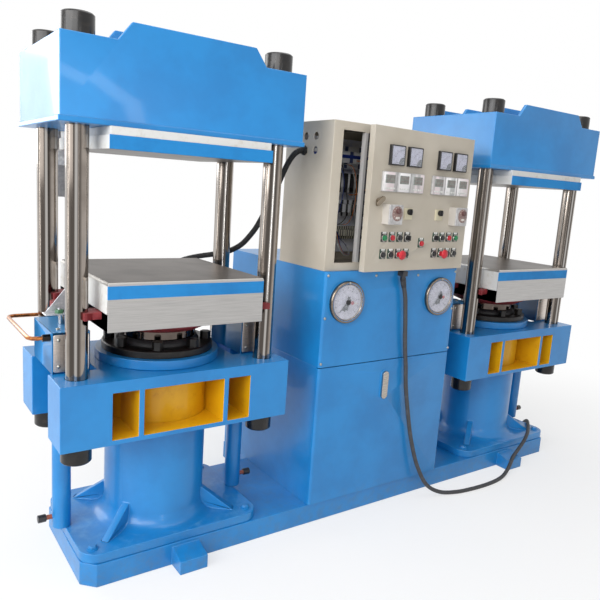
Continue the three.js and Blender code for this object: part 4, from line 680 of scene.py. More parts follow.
MAKERS = {
    "blue_enamel": (enamel,),
    "beam_enamel": (enamel, pocket_ochre),
    "cylinder_enamel": (enamel, cylinder_zones),
    "side_cylinder_enamel": (enamel, side_cylinder_zones),
    "shroud_enamel": (enamel, shroud_zones),
    "cabinet_coat": (powder_coat, switchgear_zones),
    "door_coat": (powder_coat, door_zones),
    "pillar_chrome": (chrome, True),
    "ram_chrome": (chrome,),
    "black_steel": (black_steel,),
    "table_paint": (table_paint,),
    "lower_platen_steel": (platen_finish, False),
    "upper_platen_steel": (platen_finish, True),
    "green_cap": (moulded, tone(18, 128, 76)),
    "red_cap": (moulded, tone(196, 28, 44)),
    "black_cap": (moulded, tone(24, 24, 26)),
    "white_label": (moulded, tone(226, 226, 222), 0.45),
    "legend_green": (moulded, tone(30, 66, 50), 0.3),
    "legend_dark": (moulded, tone(38, 40, 42), 0.3),
    "nut_green": (moulded, tone(70, 116, 84), 0.3),
    "meter_dial": (moulded, tone(196, 194, 212), 0.4, 0.1),
    "gauge_dial": (moulded, tone(206, 203, 216), 0.45, 0.1),
    "scale_ink": (moulded, tone(22, 22, 24), 0.5),
    "pointer_red": (moulded, tone(200, 30, 34), 0.4),
    "timer_brown": (moulded, tone(142, 116, 110), 0.3),
    "timer_case": (moulded, tone(198, 196, 196), 0.2, 0.1),
    "knob_brown": (moulded, tone(98, 66, 64), 0.3),
    "bezel_chrome": (metal_finish, tone(132, 122, 112), 0.14),
    "lock_grey": (metal_finish, tone(150, 138, 122), 0.3),
    "latch_chrome": (metal_finish, tone(186, 180, 172), 0.18),
    "timer_mark": (moulded, tone(226, 220, 212), 0.4),
    "front_film": (front_film,),
    "window_dark": (moulded, tone(140, 146, 140), 0.06, 0.05),
    "digit_red": (moulded, tone(128, 84, 80), 0.3),
    "boot_black": (rubber, tone(30, 30, 33), 0.5),
    "cover_sheet": (metal_finish, tone(226, 216, 208), 0.3, (40.0, 40.0, 900.0)),
    "galvanised": (galvanised,),
    "box_grey": (moulded, tone(150, 150, 154), 0.35),
    "wire_orange": (moulded, tone(224, 140, 84), 0.35, 0.1),
    "wire_grey": (moulded, tone(188, 190, 190), 0.35, 0.1),
    "wire_blue": (moulded, tone(60, 84, 160), 0.35, 0.1),
    "wire_black": (moulded, tone(30, 30, 32), 0.35, 0.1),
    "pane": (pane,),
    "chrome_trim": (metal_finish, tone(176, 174, 170), 0.12),
    "zinc": (metal_finish, tone(176, 176, 170), 0.32),
    "conduit_black": (rubber, tone(24, 24, 26)),
    "sheath_grey": (rubber, tone(58, 58, 60)),
    "core_brown": (rubber, tone(92, 52, 30), 0.45),
    "core_black": (rubber, tone(22, 22, 22), 0.45),
    "core_grey": (rubber, tone(128, 130, 130), 0.45),
    "core_green": (rubber, tone(70, 140, 40), 0.45),
    "copper_strand": (metal_finish, tone(196, 120, 70), 0.3),
}


# Mesh making


class Surfaces:
    """Gathers numpy surfaces, each a grid of points, into one mesh object."""

    def __init__(self):
        """Starts with no points and no faces."""
        self.points = []
        self.faces = []
        self.slots = []
        self.count = 0

    def grid(self, points, slot=0, wrap=True, caps=(True, True), close=False):
        """Points of shape (rings, sides, 3). Neighbouring rings are joined by quads; wrap joins a
        ring's last point to its first, close the last ring to the first, caps fill the end rings."""
        rings, sides = points.shape[:2]
        index = np.arange(rings * sides).reshape(rings, sides) + self.count
        if close:
            index = np.vstack([index, index[:1]])
        if wrap:
            index = np.hstack([index, index[:, :1]])
        quads = np.stack([index[:-1, :-1], index[:-1, 1:], index[1:, 1:], index[1:, :-1]], -1)
        faces = quads.reshape(-1, 4).tolist()
        if not close and wrap:
            if caps[0]:
                faces.append(index[0, :-1][::-1].tolist())
            if caps[1]:
                faces.append(index[-1, :-1].tolist())
        self.points.append(points.reshape(-1, 3))
        self.faces += faces
        self.slots += [slot] * len(faces)
        self.count += rings * sides
        return self

    def build(self, name, materials, place=None, smooth=38.0, bevel=None):
        """One object at the origin, with the place put into its mesh."""
        mesh = bpy.data.meshes.new(name)
        points = np.concatenate(self.points)
        if place is not None:
            matrix = np.array(place)
            points = points @ matrix[:3, :3].T + matrix[:3, 3]
        mesh.from_pydata(points.tolist(), [], self.faces)
        mesh.polygons.foreach_set("material_index", self.slots)
        for material in materials:
            mesh.materials.append(finish(material))
        return settle(name, mesh, smooth, bevel)


def settle(name, mesh, smooth, bevel):
    """Normals outwards, smooth shading up to an angle, and an optional bevel on the sharp edges."""
    shaped = bmesh.new()
    shaped.from_mesh(mesh)
    bmesh.ops.recalc_face_normals(shaped, faces=shaped.faces)
    shaped.to_mesh(mesh)
    shaped.free()
    mesh.polygons.foreach_set("use_smooth", [True] * len(mesh.polygons))
    mesh.set_sharp_from_angle(angle=math.radians(smooth))
    piece = bpy.data.objects.new(name, mesh)
    bpy.context.scene.collection.objects.link(piece)
    if bevel:
        edge = piece.modifiers.new("edge", "BEVEL")
        edge.width = bevel
        edge.segments = 2
        edge.limit_method = "ANGLE"
        edge.angle_limit = math.radians(42)
        edge.use_clamp_overlap = False
        edge.harden_normals = True
    return piece


def rounded_rectangle(half_x, half_z, corner, steps=4):
    """Outline of a rectangle with round corners, as (n, 2) points in X and Z."""
    corner = min(corner, half_x, half_z)
    angle = np.linspace(0, np.pi / 2, steps)
    parts = []
    for turn, (side_x, side_z) in enumerate(((1, 1), (-1, 1), (-1, -1), (1, -1))):
        swept = angle + turn * np.pi / 2
        parts.append(np.stack([
            side_x * (half_x - corner) + corner * np.cos(swept),
            side_z * (half_z - corner) + corner * np.sin(swept),
        ], 1))
    return np.concatenate(parts)


def stack(into, centre, size, rings, corner=0.003, slot=0):
    """Rounded-rectangle plate built up along -Y: each ring is (inset, height in front of the seat)."""
    layers = []
    for inset, height in rings:
        outline = rounded_rectangle(size[0] / 2 - inset, size[1] / 2 - inset, max(corner - inset, 0.0002))
        layer = np.empty((len(outline), 3))
        layer[:, 0] = centre[0] + outline[:, 0]
        layer[:, 1] = centre[1] - height
        layer[:, 2] = centre[2] + outline[:, 1]
        layers.append(layer)
    return into.grid(np.array(layers), slot)


def turned(into, profile, axis, centre, sides=48, slot=0):
    """Surface of revolution: (radius, height) pairs turned about an axis 'X', 'Y' or 'Z'.
    Height runs along +Z, along -Y or along +X."""
    profile = np.array(profile, float)
    angle = np.arange(sides) / sides * 2 * np.pi
    radius, height = profile[:, :1], profile[:, 1:]
    across, upward = radius * np.cos(angle), radius * np.sin(angle)
    level = np.broadcast_to(height, across.shape)
    order = {"Z": (across, upward, level), "Y": (across, -level, upward), "X": (level, across, upward)}[axis]
    points = np.stack(order, -1) + np.array(centre)
    return into.grid(points, slot)


def hexagon(into, centre, radius, height, slot=0, axis="Z"):
    """Bolt head: a six-sided profile turned about its axis, with its top edge chamfered."""
    profile = [(radius, 0.0), (radius, height * 0.78), (radius * 0.88, height), (0.0001, height)]
    return turned(into, profile, axis, centre, 6, slot)


def block(into, low, high, slot=0, corner=0.002):
    """Box between two corners with rounded upright edges and a chamfer above and below."""
    low, high = np.array(low, float), np.array(high, float)
    half = (high - low) / 2
    middle = (high + low) / 2
    layers = []
    for inset, level in ((corner / 2, low[2]), (0.0, low[2] + corner / 2), (0.0, high[2] - corner / 2),
                         (corner / 2, high[2])):
        outline = rounded_rectangle(half[0] - inset, half[1] - inset, corner)
        layers.append(np.column_stack([outline + middle[:2], np.full(len(outline), level)]))
    return into.grid(np.array(layers), slot)


def bar(into, pivot, angle, inner, outer, half, low, high, slot):
    """Flat bar on a dial, from the inner to the outer radius and from low to high before the pivot."""
    along = np.array((math.cos(angle), 0, math.sin(angle)))
    across = np.array((-math.sin(angle), 0, math.cos(angle)))
    middle = np.array(pivot, float)
    rows = []
    for radius in (inner, outer):
        base = middle + along * radius
        rows.append([base + across * share + np.array((0, -height, 0)) for share, height in
                     ((-half, low), (half, low), (half, high), (-half, high))])
    return into.grid(np.array(rows), slot)


def sector(into, corner, radius, first, last, low, high, slot):
    """Flat piece of pie: the corner and an arc about it, from low to high before the corner."""
    turn = np.linspace(first, last, 14)
    outline = np.stack([np.append(radius * np.cos(turn), 0.0), np.append(radius * np.sin(turn), 0.0)], 1)
    rings = []
    for height in (low, high):
        ring = np.empty((len(outline), 3))
        ring[:, 0] = corner[0] + outline[:, 0]
        ring[:, 1] = corner[1] - height
        ring[:, 2] = corner[2] + outline[:, 1]
        rings.append(ring)
    return into.grid(np.array(rings), slot)


def carried(path):
    """Frames along a path without twist: tangents and two normals, by parallel transport."""
    tangent = np.gradient(path, axis=0)
    tangent /= np.linalg.norm(tangent, axis=1, keepdims=True)
    normal = np.empty_like(path)
    seed = np.cross(tangent[0], (0.0, 0.0, 1.0))
    if np.linalg.norm(seed) < 0.1:
        seed = np.cross(tangent[0], (0.0, 1.0, 0.0))
    normal[0] = seed / np.linalg.norm(seed)
    for k in range(1, len(path)):
        moved = normal[k - 1] - tangent[k] * np.dot(normal[k - 1], tangent[k])
        normal[k] = moved / np.linalg.norm(moved)
    return tangent, normal, np.cross(tangent, normal)


def tube(into, path, radius, sides=12, slot=0):
    """Tube along a path: point = path + r (n cos a + b sin a), with r a number or one per point."""
    path = np.asarray(path, float)
    _, normal, side = carried(path)
    angle = np.arange(sides) / sides * 2 * np.pi
    radius = np.broadcast_to(np.asarray(radius, float), len(path))[:, None, None]
    ring = normal[:, None] * np.cos(angle)[None, :, None] + side[:, None] * np.sin(angle)[None, :, None]
    return into.grid(path[:, None] + radius * ring, slot)


def evenly(points, step):
    """The line through points, cut anew at equal steps of about the given length."""
    along = np.concatenate([[0], np.cumsum(np.linalg.norm(np.diff(points, axis=0), axis=1))])
    count = max(int(along[-1] / step), 2)
    at = np.linspace(0, along[-1], count)
    return np.stack([np.interp(at, along, points[:, k]) for k in range(3)], 1)


def in_proportion(first, second, start, end, at):
    """What is first at start, second at end, and in proportion between them."""
    return (end - at) / (end - start) * first + (at - start) / (end - start) * second


def smooth_path(points, step):
    """Centripetal Catmull-Rom curve through points, resampled at equal steps."""
    given = np.array(points, float)
    ends = np.vstack([2 * given[0] - given[1], given, 2 * given[-1] - given[-2]])
    pieces = []
    for count in range(len(ends) - 3):
        near = ends[count:count + 4]
        gaps = np.maximum(np.linalg.norm(np.diff(near, axis=0), axis=1) ** 0.5, 1e-6)
        knots = np.concatenate([[0], np.cumsum(gaps)])
        at = np.linspace(knots[1], knots[2], 24, endpoint=False)[:, None]
        legs = [in_proportion(near[k], near[k + 1], knots[k], knots[k + 1], at) for k in range(3)]
        bows = [in_proportion(legs[k], legs[k + 1], knots[k], knots[k + 2], at) for k in range(2)]
        pieces.append(in_proportion(*bows, knots[1], knots[2], at))
    return evenly(np.vstack([*pieces, given[-1:]]), step)


def eased_path(points, step, reach):
    """Straight legs through points with their corners rounded: each place is the mean of the line within
    reach of it, weighted by 1 + cos(pi * distance / reach). The line runs on straight past both ends."""
    given = np.array(points, float)
    before = given[0] - (given[1] - given[0]) / np.linalg.norm(given[1] - given[0]) * reach
    after = given[-1] + (given[-1] - given[-2]) / np.linalg.norm(given[-1] - given[-2]) * reach
    legs = evenly(np.vstack([before, given, after]), step)
    weight = 1 + np.cos(np.linspace(-np.pi, np.pi, 2 * round(reach / step) + 1))
    weight /= weight.sum()
    rounded = np.stack([np.convolve(legs[:, k], weight, "valid") for k in range(3)], 1)
    return evenly(rounded, step)


def length_of(path):
    """Length along a line of points."""
    return float(np.linalg.norm(np.diff(path, axis=0), axis=1).sum())


def dressed(node, material, body, slot, bevel=0.0016, smooth=38.0):
    """A welded copy of a CAD node with broken edges and smooth round walls, standing for the node."""
    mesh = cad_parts[node].data.copy()
    mesh.materials.clear()
    shaped = bmesh.new()
    shaped.from_mesh(mesh)
    bmesh.ops.remove_doubles(shaped, verts=shaped.verts, dist=0.00001)
    bmesh.ops.dissolve_limit(
        shaped, angle_limit=math.radians(0.6), verts=shaped.verts, edges=shaped.edges,
        use_dissolve_boundaries=False,
    )
    shaped.to_mesh(mesh)
    shaped.free()
    mesh.materials.append(finish(material))
    piece = settle(node + "_finish", mesh, smooth, bevel)
    return seat(piece, body, slot, node)


def seat(piece, body, slot, *replaced):
    """Puts a piece on its body; the slot is not used; replaced nodes are no longer shown."""
    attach(piece, body)
    if replaced:
        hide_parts(*replaced)
    return piece


# Cords

CABLE_RADIUS = 0.0085
CABLE_ROUTE = [
    (0.016, -0.2667, 0.9567), (0.016, -0.2667, 0.9437),
    (0.025, -0.267, 0.924), (0.033, -0.267, 0.900), (0.040, -0.267, 0.872), (0.046, -0.266, 0.835),
    (0.052, -0.266, 0.790), (0.060, -0.265, 0.725), (0.070, -0.264, 0.660), (0.082, -0.264, 0.594),
    (0.092, -0.264, 0.520), (0.117, -0.266, 0.400), (0.149, -0.271, 0.270), (0.194, -0.283, 0.140),
    (0.246, -0.301, 0.052), (0.306, -0.322, 0.017), (0.380, -0.346, 0.0096), (0.470, -0.360, 0.0092),
    (0.580, -0.364, 0.0092), (0.660, -0.357, 0.0096), (0.716, -0.346, 0.015), (0.762, -0.333, 0.033),
    (0.800, -0.318, 0.052), (0.828, -0.304, 0.062), (0.866, -0.288, 0.066), (0.905, -0.274, 0.072),
    (0.945, -0.263, 0.086), (0.980, -0.254, 0.103), (1.012, -0.242, 0.118), (1.048, -0.222, 0.123),
    (1.095, -0.192, 0.122), (1.150, -0.152, 0.122), (1.200, -0.110, 0.120), (1.240, -0.066, 0.090),
    (1.262, -0.020, 0.036), (1.268, 0.046, 0.011), (1.256, 0.140, 0.0094), (1.214, 0.248, 0.0092),
    (1.160, 0.325, 0.0092),
]
COIL_CENTRE = (1.000, 0.430)
COIL_TURNS = 3.5
COIL_INNER = 0.084
COIL_PITCH = 0.0179
TIE_ANGLES = (0.9, 4.0)
TIE_HALF_WIDTH = 0.0285
TIE_HALF_HEIGHT = 0.0192
TIE_LEVEL = 0.0187
FLOOR_GAP = 0.0004
BOOT_WALL = 0.0008
BOOT_TAPER = 0.0022
CORE_RADIUS = 0.0022
STRAND_RADIUS = 0.0014
CONDUIT_ROUTE = [
    (-0.3633, -0.068, 1.415), (-0.3853, -0.068, 1.415), (-0.384, -0.060, 1.409), (-0.403, -0.042, 1.372),
    (-0.418, -0.012, 1.296), (-0.434, 0.030, 1.205), (-0.452, 0.082, 1.112), (-0.476, 0.140, 1.042),
    (-0.504, 0.196, 1.008), (-0.542, 0.254, 0.990), (-0.588, 0.306, 0.976), (-0.636, 0.326, 0.962),
    (-0.668, 0.314, 0.953), (-0.678, 0.2983, 0.951), (-0.678, 0.2763, 0.951),
]
CONDUIT_EASE = 0.06
RIB_DEPTH = 0.0016


def coil_points():
    """Spiral along the floor, a climb of one cable, and the spiral back out on top:
    radius = inner + pitch * distance from the middle turn, height rises over the middle half turn."""
    steps = round(24 * COIL_TURNS)
    turn = np.arange(steps + 1) / steps * COIL_TURNS
    middle = COIL_TURNS / 2
    radius = COIL_INNER + COIL_PITCH * np.abs(turn - middle)
    share = np.clip((turn - middle + 0.25) / 0.5, 0, 1)
    climb = share * share * (3 - 2 * share)
    angle = turn * 2 * np.pi
    return np.stack([
        COIL_CENTRE[0] + radius * np.cos(angle),
        COIL_CENTRE[1] + radius * np.sin(angle),
        CABLE_RADIUS + 0.0003 + COIL_PITCH * climb,
    ], 1)


class PressCordSettings(bpy.types.PropertyGroup):
    """Sizes of the conduit and the supply cable."""

    cable_sides: bpy.props.IntProperty(
        name="Cable facets", description="Facets round the supply cable", default=14, min=8, max=24)
    conduit_radius: chosen_length("Conduit radius", "Outer radius of the corrugated conduit", 0.011)
    rib_pitch: chosen_length("Rib pitch", "Distance between the conduit's corrugations", 0.0055)


class PRESS_OT_supply_cable(bpy.types.Operator):
    """Make the supply cable with its boot, its tied coil and the bare cores at its far end"""

    bl_idname = "press.supply_cable"
    bl_label = "Supply cable"

    def execute(self, context):
        """One tube of the cable's real length: down the front, round the foot, and into its coil."""
        settings = context.scene.press_cords
        coil = coil_points()
        lead = (coil[1] - coil[0]) / np.linalg.norm(coil[1] - coil[0]) * 2 * CABLE_RADIUS
        out = (coil[-1] - coil[-2]) / np.linalg.norm(coil[-1] - coil[-2]) * 2 * CABLE_RADIUS
        run = [coil[0] - 3 * lead, coil[0] - 2 * lead, coil[0] - lead]
        path = smooth_path(np.vstack([CABLE_ROUTE, *run, coil, coil[-1] + out]), 0.006)
        path[:, 2] = np.maximum(path[:, 2], CABLE_RADIUS + FLOOR_GAP)
        made = Surfaces()
        tube(made, path, CABLE_RADIUS, settings.cable_sides)
        cable = made.build("supply_cable_sheath", ["sheath_grey"], smooth=60)
        seat(cable, "machine_frame", "cable_rubber", "supply_cable", "cable_coil")
        pieces = [self.boot(path), self.cores(path), self.ties()]
        return {"FINISHED"}

    def boot(self, path):
        """Tapered sleeve on the cable's first stretch: radius falls evenly, with four shallow rings."""
        along = np.linspace(0, 1, 25)
        line = path[0] + (path[6] - path[0]) * along[:, None]
        radius = CABLE_RADIUS + BOOT_WALL + BOOT_TAPER * (1 - along)
        radius = radius + 0.0005 * (np.cos(along * 8 * np.pi) > 0.2)
        made = Surfaces()
        tube(made, line, radius, 20)
        piece = made.build("supply_cable_boot", ["boot_black"], smooth=60)
        return seat(piece, "machine_frame", "cable_rubber")

    def cores(self, path):
        """Four insulated cores fanning a little from the cut end of the sheath."""
        made = Surfaces()
        along = path[-1] - path[-4]
        along /= np.linalg.norm(along)
        side = np.cross(along, (0, 0, 1))
        for k, (across, lift) in enumerate(((-1, -1), (1, -1), (-1, 1), (1, 1))):
            start = path[-1] + side * across * 0.0028 + np.array((0, 0, lift * 0.0028)) - along * 0.004
            end = start + along * 0.03 + side * across * 0.0035
            tip = end + along * 0.008
            bend = np.array([start, start + along * 0.012, end, tip])
            line = smooth_path(bend, 0.003)
            tube(made, line, CORE_RADIUS, 8, slot=k)
            tube(made, np.array([tip - along * 0.001, tip + along * 0.003]), STRAND_RADIUS, 8, slot=4)
        piece = made.build(
            "supply_cable_cores", ["core_brown", "core_black", "core_grey", "core_green", "copper_strand"])
        return seat(piece, "machine_frame", "cable_rubber")

    def ties(self):
        """Two straps round the coil's bundle, each a rounded band following the wound section."""
        made = Surfaces()
        for angle in TIE_ANGLES:
            out = np.array((math.cos(angle), math.sin(angle), 0))
            middle = np.array((*COIL_CENTRE, 0)) + out * (COIL_INNER + COIL_PITCH * 0.9)
            ring = np.arange(28) / 28 * 2 * np.pi
            squareness = (np.abs(np.cos(ring)) ** 4 + np.abs(np.sin(ring)) ** 4) ** -0.25
            loop = middle + out * (TIE_HALF_WIDTH * np.cos(ring) * squareness)[:, None]
            height = TIE_LEVEL + TIE_HALF_HEIGHT * np.sin(ring) * squareness
            loop = loop + np.array((0, 0, 1)) * height[:, None]
            loop[:, 2] = np.maximum(loop[:, 2], 0.0014)
            across = np.cross(out, (0, 0, 1))
            centre = middle + np.array((0, 0, TIE_LEVEL))
            away = (loop - centre) / np.linalg.norm(loop - centre, axis=1, keepdims=True)
            rows = [loop + across * aside + away * proud for aside, proud in
                    ((-0.005, 0), (0.005, 0), (0.005, 0.0012), (-0.005, 0.0012))]
            made.grid(np.stack(rows), wrap=True, close=True)
        piece = made.build("supply_cable_ties", ["black_cap"])
        return seat(piece, "machine_frame", "cable_rubber")


class PRESS_OT_platen_conduit(bpy.types.Operator):
    """Make the corrugated conduit from the cabinet to the lower heating plate"""

    bl_idname = "press.platen_conduit"
    bl_label = "Platen conduit"

    def execute(self, context):
        """Corrugated tube: radius = outer - depth * ((1 - cos(2 pi s / pitch)) / 2) ^ 1.5 along its
        length s."""
        settings = context.scene.press_cords
        path = eased_path(CONDUIT_ROUTE, settings.rib_pitch / 6, CONDUIT_EASE)
        along = np.linspace(0, length_of(path), len(path))
        ripple = (1 - np.cos(2 * np.pi * along / settings.rib_pitch)) / 2
        made = Surfaces()
        tube(made, path, settings.conduit_radius - RIB_DEPTH * ripple ** 1.5, 14)
        conduit = made.build("platen_conduit_sheath", ["conduit_black"], smooth=60)
        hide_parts("platen_conduit")
        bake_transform(conduit)
        return {"FINISHED"}


# Press stations


NUT_RADIUS = 0.046
NUT_HEIGHT = 0.062
SHAFT_RADIUS = 0.0325
WIPER_INNER = 0.1262
WIPER_BOTTOM = 0.7316
HEAD_COVER = (0.106, 0.116)
HEAD_COVER_FRONT = -0.116
HEAD_COVER_Z = 0.740
COVER_SCREW_X = 0.038
COVER_SCREW_Z = (0.700, 0.782)
HEAD_TOP = 0.8048
FLANGE_BOLT_X = 0.278
FLANGE_BOLT_Y = 0.188
FLANGE_TOP = 0.1098
BRACKET_FOOT = ((-1.268, -0.080, 0.8500), (-1.174, -0.0345, 0.8540))
BRACKET_LEAF = [(-1.258, 0.8520), (-1.174, 0.8520), (-1.174, 0.9380), (-1.188, 0.9380)]
BRACKET_LEAF_Y = (-0.0378, -0.0345)
BRACKET_NUT = (-1.222, -0.060)
BOX_BODY = ((-1.165, 0.292, 1.195), (-1.072, 0.352, 1.345))
BOX_LID = ((-1.168, 0.288, 1.192), (-1.069, 0.300, 1.348))
STRAP_X = (-1.140, -1.097)
STRAP_BENDS = [((0.2446, 1.4170), (0.2486, 1.476)), ((0.2446, 1.4170), (0.2900, 1.4210)),
               ((0.2860, 1.3000), (0.2900, 1.4210))]
BOX_GLANDS_X = (-1.142, -1.095)
STRAP_SCREWS_Z = (1.434, 1.460)


class PressStationSettings(bpy.types.PropertyGroup):
    """Edge treatment of the press stations."""

    casting_edge: chosen_length("Casting edge", "Broken edge on castings and welded beams", 0.0028)
    machined_edge: chosen_length("Machined edge", "Broken edge on machined parts", 0.0014)
    sheet_edge: chosen_length("Sheet edge", "Broken edge on folded sheet", 0.0012)


class PRESS_OT_castings(bpy.types.Operator):
    """Finish the base, the cylinders, the lower beams and the crossheads in blue enamel"""

    bl_idname = "press.castings"
    bl_label = "Castings"

    def execute(self, context):
        """Copies of the CAD nodes with broken edges."""
        edge = context.scene.press_stations.casting_edge
        dressed("base_frame", "blue_enamel", "machine_frame", "blue_paint", edge)
        for tag in STATION_X:
            dressed(f"cylinder_{tag}", "cylinder_enamel", "machine_frame", "blue_paint", edge)
            dressed(f"lower_beam_{tag}", "beam_enamel", "machine_frame", "blue_paint", edge)
            dressed(f"crosshead_{tag}", "blue_enamel", "machine_frame", "blue_paint", edge)
        return {"FINISHED"}


class PRESS_OT_pillars(bpy.types.Operator):
    """Turn the chromed pillars with their black nuts"""

    bl_idname = "press.pillars"
    bl_label = "Pillars"

    def execute(self, context):
        """Profile of shaft and chamfered nuts, turned about each pillar's axis: the upper nut is the lower
        one mirrored."""
        nut = [(0.0001, 0.0), (NUT_RADIUS - 0.0055, 0.0), (NUT_RADIUS - 0.0048, 0.0003),
               (NUT_RADIUS - 0.0002, 0.0047), (NUT_RADIUS, 0.0054), (NUT_RADIUS, NUT_HEIGHT - 0.0008),
               (NUT_RADIUS - 0.0007, NUT_HEIGHT - 0.0001), (SHAFT_RADIUS, NUT_HEIGHT)]
        for tag in STATION_X:
            for end in ENDS:
                for side in SIDES:
                    node = f"pillar_{tag}_{end}_{side}"
                    low, high = (np.array(corner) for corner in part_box(node))
                    bottom, top = low[2], high[2]
                    profile = [(radius, bottom + level) for radius, level in nut]
                    profile += [(radius, top - level) for radius, level in reversed(nut)]
                    made = Surfaces()
                    middle = (low + high) / 2
                    turned(made, profile, "Z", (middle[0], middle[1], 0.0), 64)
                    piece = made.build(f"{node}_finish", ["pillar_chrome"])
                    seat(piece, "machine_frame", "chrome_plate", node)
        return {"FINISHED"}


class PRESS_OT_rams(bpy.types.Operator):
    """Finish the chromed rams and the black gland rings round them"""

    bl_idname = "press.rams"
    bl_label = "Rams and gland rings"

    def execute(self, context):
        """Copies of the CAD nodes with broken edges, and a wiper ring on each gland."""
        edge = context.scene.press_stations.machined_edge
        for tag in STATION_X:
            dressed(f"gland_ring_{tag}", "black_steel", "machine_frame", "black_steel", edge)
            dressed(f"ram_{tag}", "ram_chrome", f"press_table_{tag}", "chrome_plate", edge)
            self.wiper(tag)
        return {"FINISHED"}

    def wiper(self, tag):
        """Greasy wiper ring on the gland: a sloping profile turned about the ram's axis."""
        made = Surfaces()
        profile = [(0.0, 0.0), (0.0138, 0.0), (0.0138, 0.0084), (0.0123, 0.0109), (0.0068, 0.0204),
                   (0.0038, 0.0219), (0.0008, 0.0214), (0.0, 0.0199)]
        sides = 72
        radius, level = (np.array(profile) + (WIPER_INNER, WIPER_BOTTOM)).T
        angle = np.arange(sides) / sides * 2 * np.pi
        rings = np.stack([STATION_X[tag] + radius[:, None] * np.cos(angle), radius[:, None] * np.sin(angle),
                          np.repeat(level[:, None], sides, 1)], -1)
        made.grid(rings, close=True)
        seat(made.build(f"wiper_ring_{tag}", ["boot_black"]), "machine_frame", "black_steel")


class PRESS_OT_platens(bpy.types.Operator):
    """Finish the moving tables and the lower and upper heating plates"""

    bl_idname = "press.platens"
    bl_label = "Tables and platens"

    def execute(self, context):
        """Copies of the CAD nodes with broken edges."""
        edge = context.scene.press_stations.machined_edge
        for tag in STATION_X:
            table = f"press_table_{tag}"
            dressed(f"moving_table_{tag}", "table_paint", table, "red_paint", edge)
            dressed(f"lower_platen_{tag}", "lower_platen_steel", table, "platen_steel", edge)
            dressed(f"upper_platen_{tag}", "upper_platen_steel", "machine_frame", "platen_steel", edge)
        return {"FINISHED"}


class PRESS_OT_side_cylinders(bpy.types.Operator):
    """Finish the side cylinders and screw a cover plate to the front of each head block"""

    bl_idname = "press.side_cylinders"
    bl_label = "Side cylinders"

    def execute(self, context):
        """Each cover is a rounded plate with a broken edge; two small bolts stand on the block."""
        edge = context.scene.press_stations.machined_edge
        for tag in STATION_X:
            for side in SIDES:
                node = f"side_cylinder_{tag}_{side}"
                dressed(node, "side_cylinder_enamel", "machine_frame", "blue_paint", edge)
        made, bolts = Surfaces(), Surfaces()
        for middle in STATION_X.values():
            for x in (middle - PILLAR_X, middle + PILLAR_X):
                stack(made, (x, HEAD_COVER_FRONT, HEAD_COVER_Z), HEAD_COVER,
                      [(0.0, -0.0005), (0.0, 0.0024), (0.0009, 0.0032)], 0.005)
                for level in COVER_SCREW_Z:
                    for across in (-COVER_SCREW_X, COVER_SCREW_X):
                        turned(bolts, SCREW_DOME, "Y", (x + across, HEAD_COVER_FRONT - 0.0032, level), 12)
                for across in (-0.030, 0.012):
                    hexagon(bolts, (x + across, -0.078, HEAD_TOP), 0.0065, 0.0052)
        seat(made.build("head_covers", ["cover_sheet"]), "machine_frame", "lock_chrome")
        seat(bolts.build("head_bolts", ["zinc"]), "machine_frame", "lock_chrome")
        return {"FINISHED"}


class PRESS_OT_flange_bolts(bpy.types.Operator):
    """Set a painted bolt in each corner of the cylinders' foot flanges"""

    bl_idname = "press.flange_bolts"
    bl_label = "Flange bolts"

    def execute(self, context):
        """A washer turned about Z under each six-sided head."""
        made = Surfaces()
        for middle in STATION_X.values():
            for x in (middle - FLANGE_BOLT_X, middle + FLANGE_BOLT_X):
                for y in (-FLANGE_BOLT_Y, FLANGE_BOLT_Y):
                    turned(made, [(0.0185, 0.0), (0.0185, 0.0022), (0.0172, 0.0030), (0.0001, 0.0030)],
                           "Z", (x, y, FLANGE_TOP), 28)
                    hexagon(made, (x, y, FLANGE_TOP + 0.0026), 0.0135, 0.0092)
        seat(made.build("flange_bolts", ["blue_enamel"]), "machine_frame", "blue_paint")
        return {"FINISHED"}


class PRESS_OT_limit_bracket(bpy.types.Operator):
    """Make the bent zinc bracket with its green nut on the left rod of the left table"""

    bl_idname = "press.limit_bracket"
    bl_label = "Limit bracket"

    def execute(self, context):
        """A flat foot and a sloping leaf against the rod's lug, with a nut and stud on the foot."""
        made = Surfaces()
        block(made, *BRACKET_FOOT, 0, 0.003)
        leaf = np.array(BRACKET_LEAF)
        rows = [np.column_stack([leaf[:, 0], np.full(len(leaf), y), leaf[:, 1]]) for y in BRACKET_LEAF_Y]
        made.grid(np.array(rows), 0)
        foot_top = BRACKET_FOOT[1][2]
        hexagon(made, (*BRACKET_NUT, foot_top - 0.0002), 0.0135, 0.0110, 1)
        turned(made, [(0.0001, 0.0), (0.0055, 0.0), (0.0055, 0.0050), (0.0001, 0.0058)],
               "Z", (*BRACKET_NUT, foot_top + 0.0100), 16, 0)
        piece = made.build("limit_bracket", ["galvanised", "nut_green"])
        seat(piece, "press_table_a", "lock_chrome")
        return {"FINISHED"}


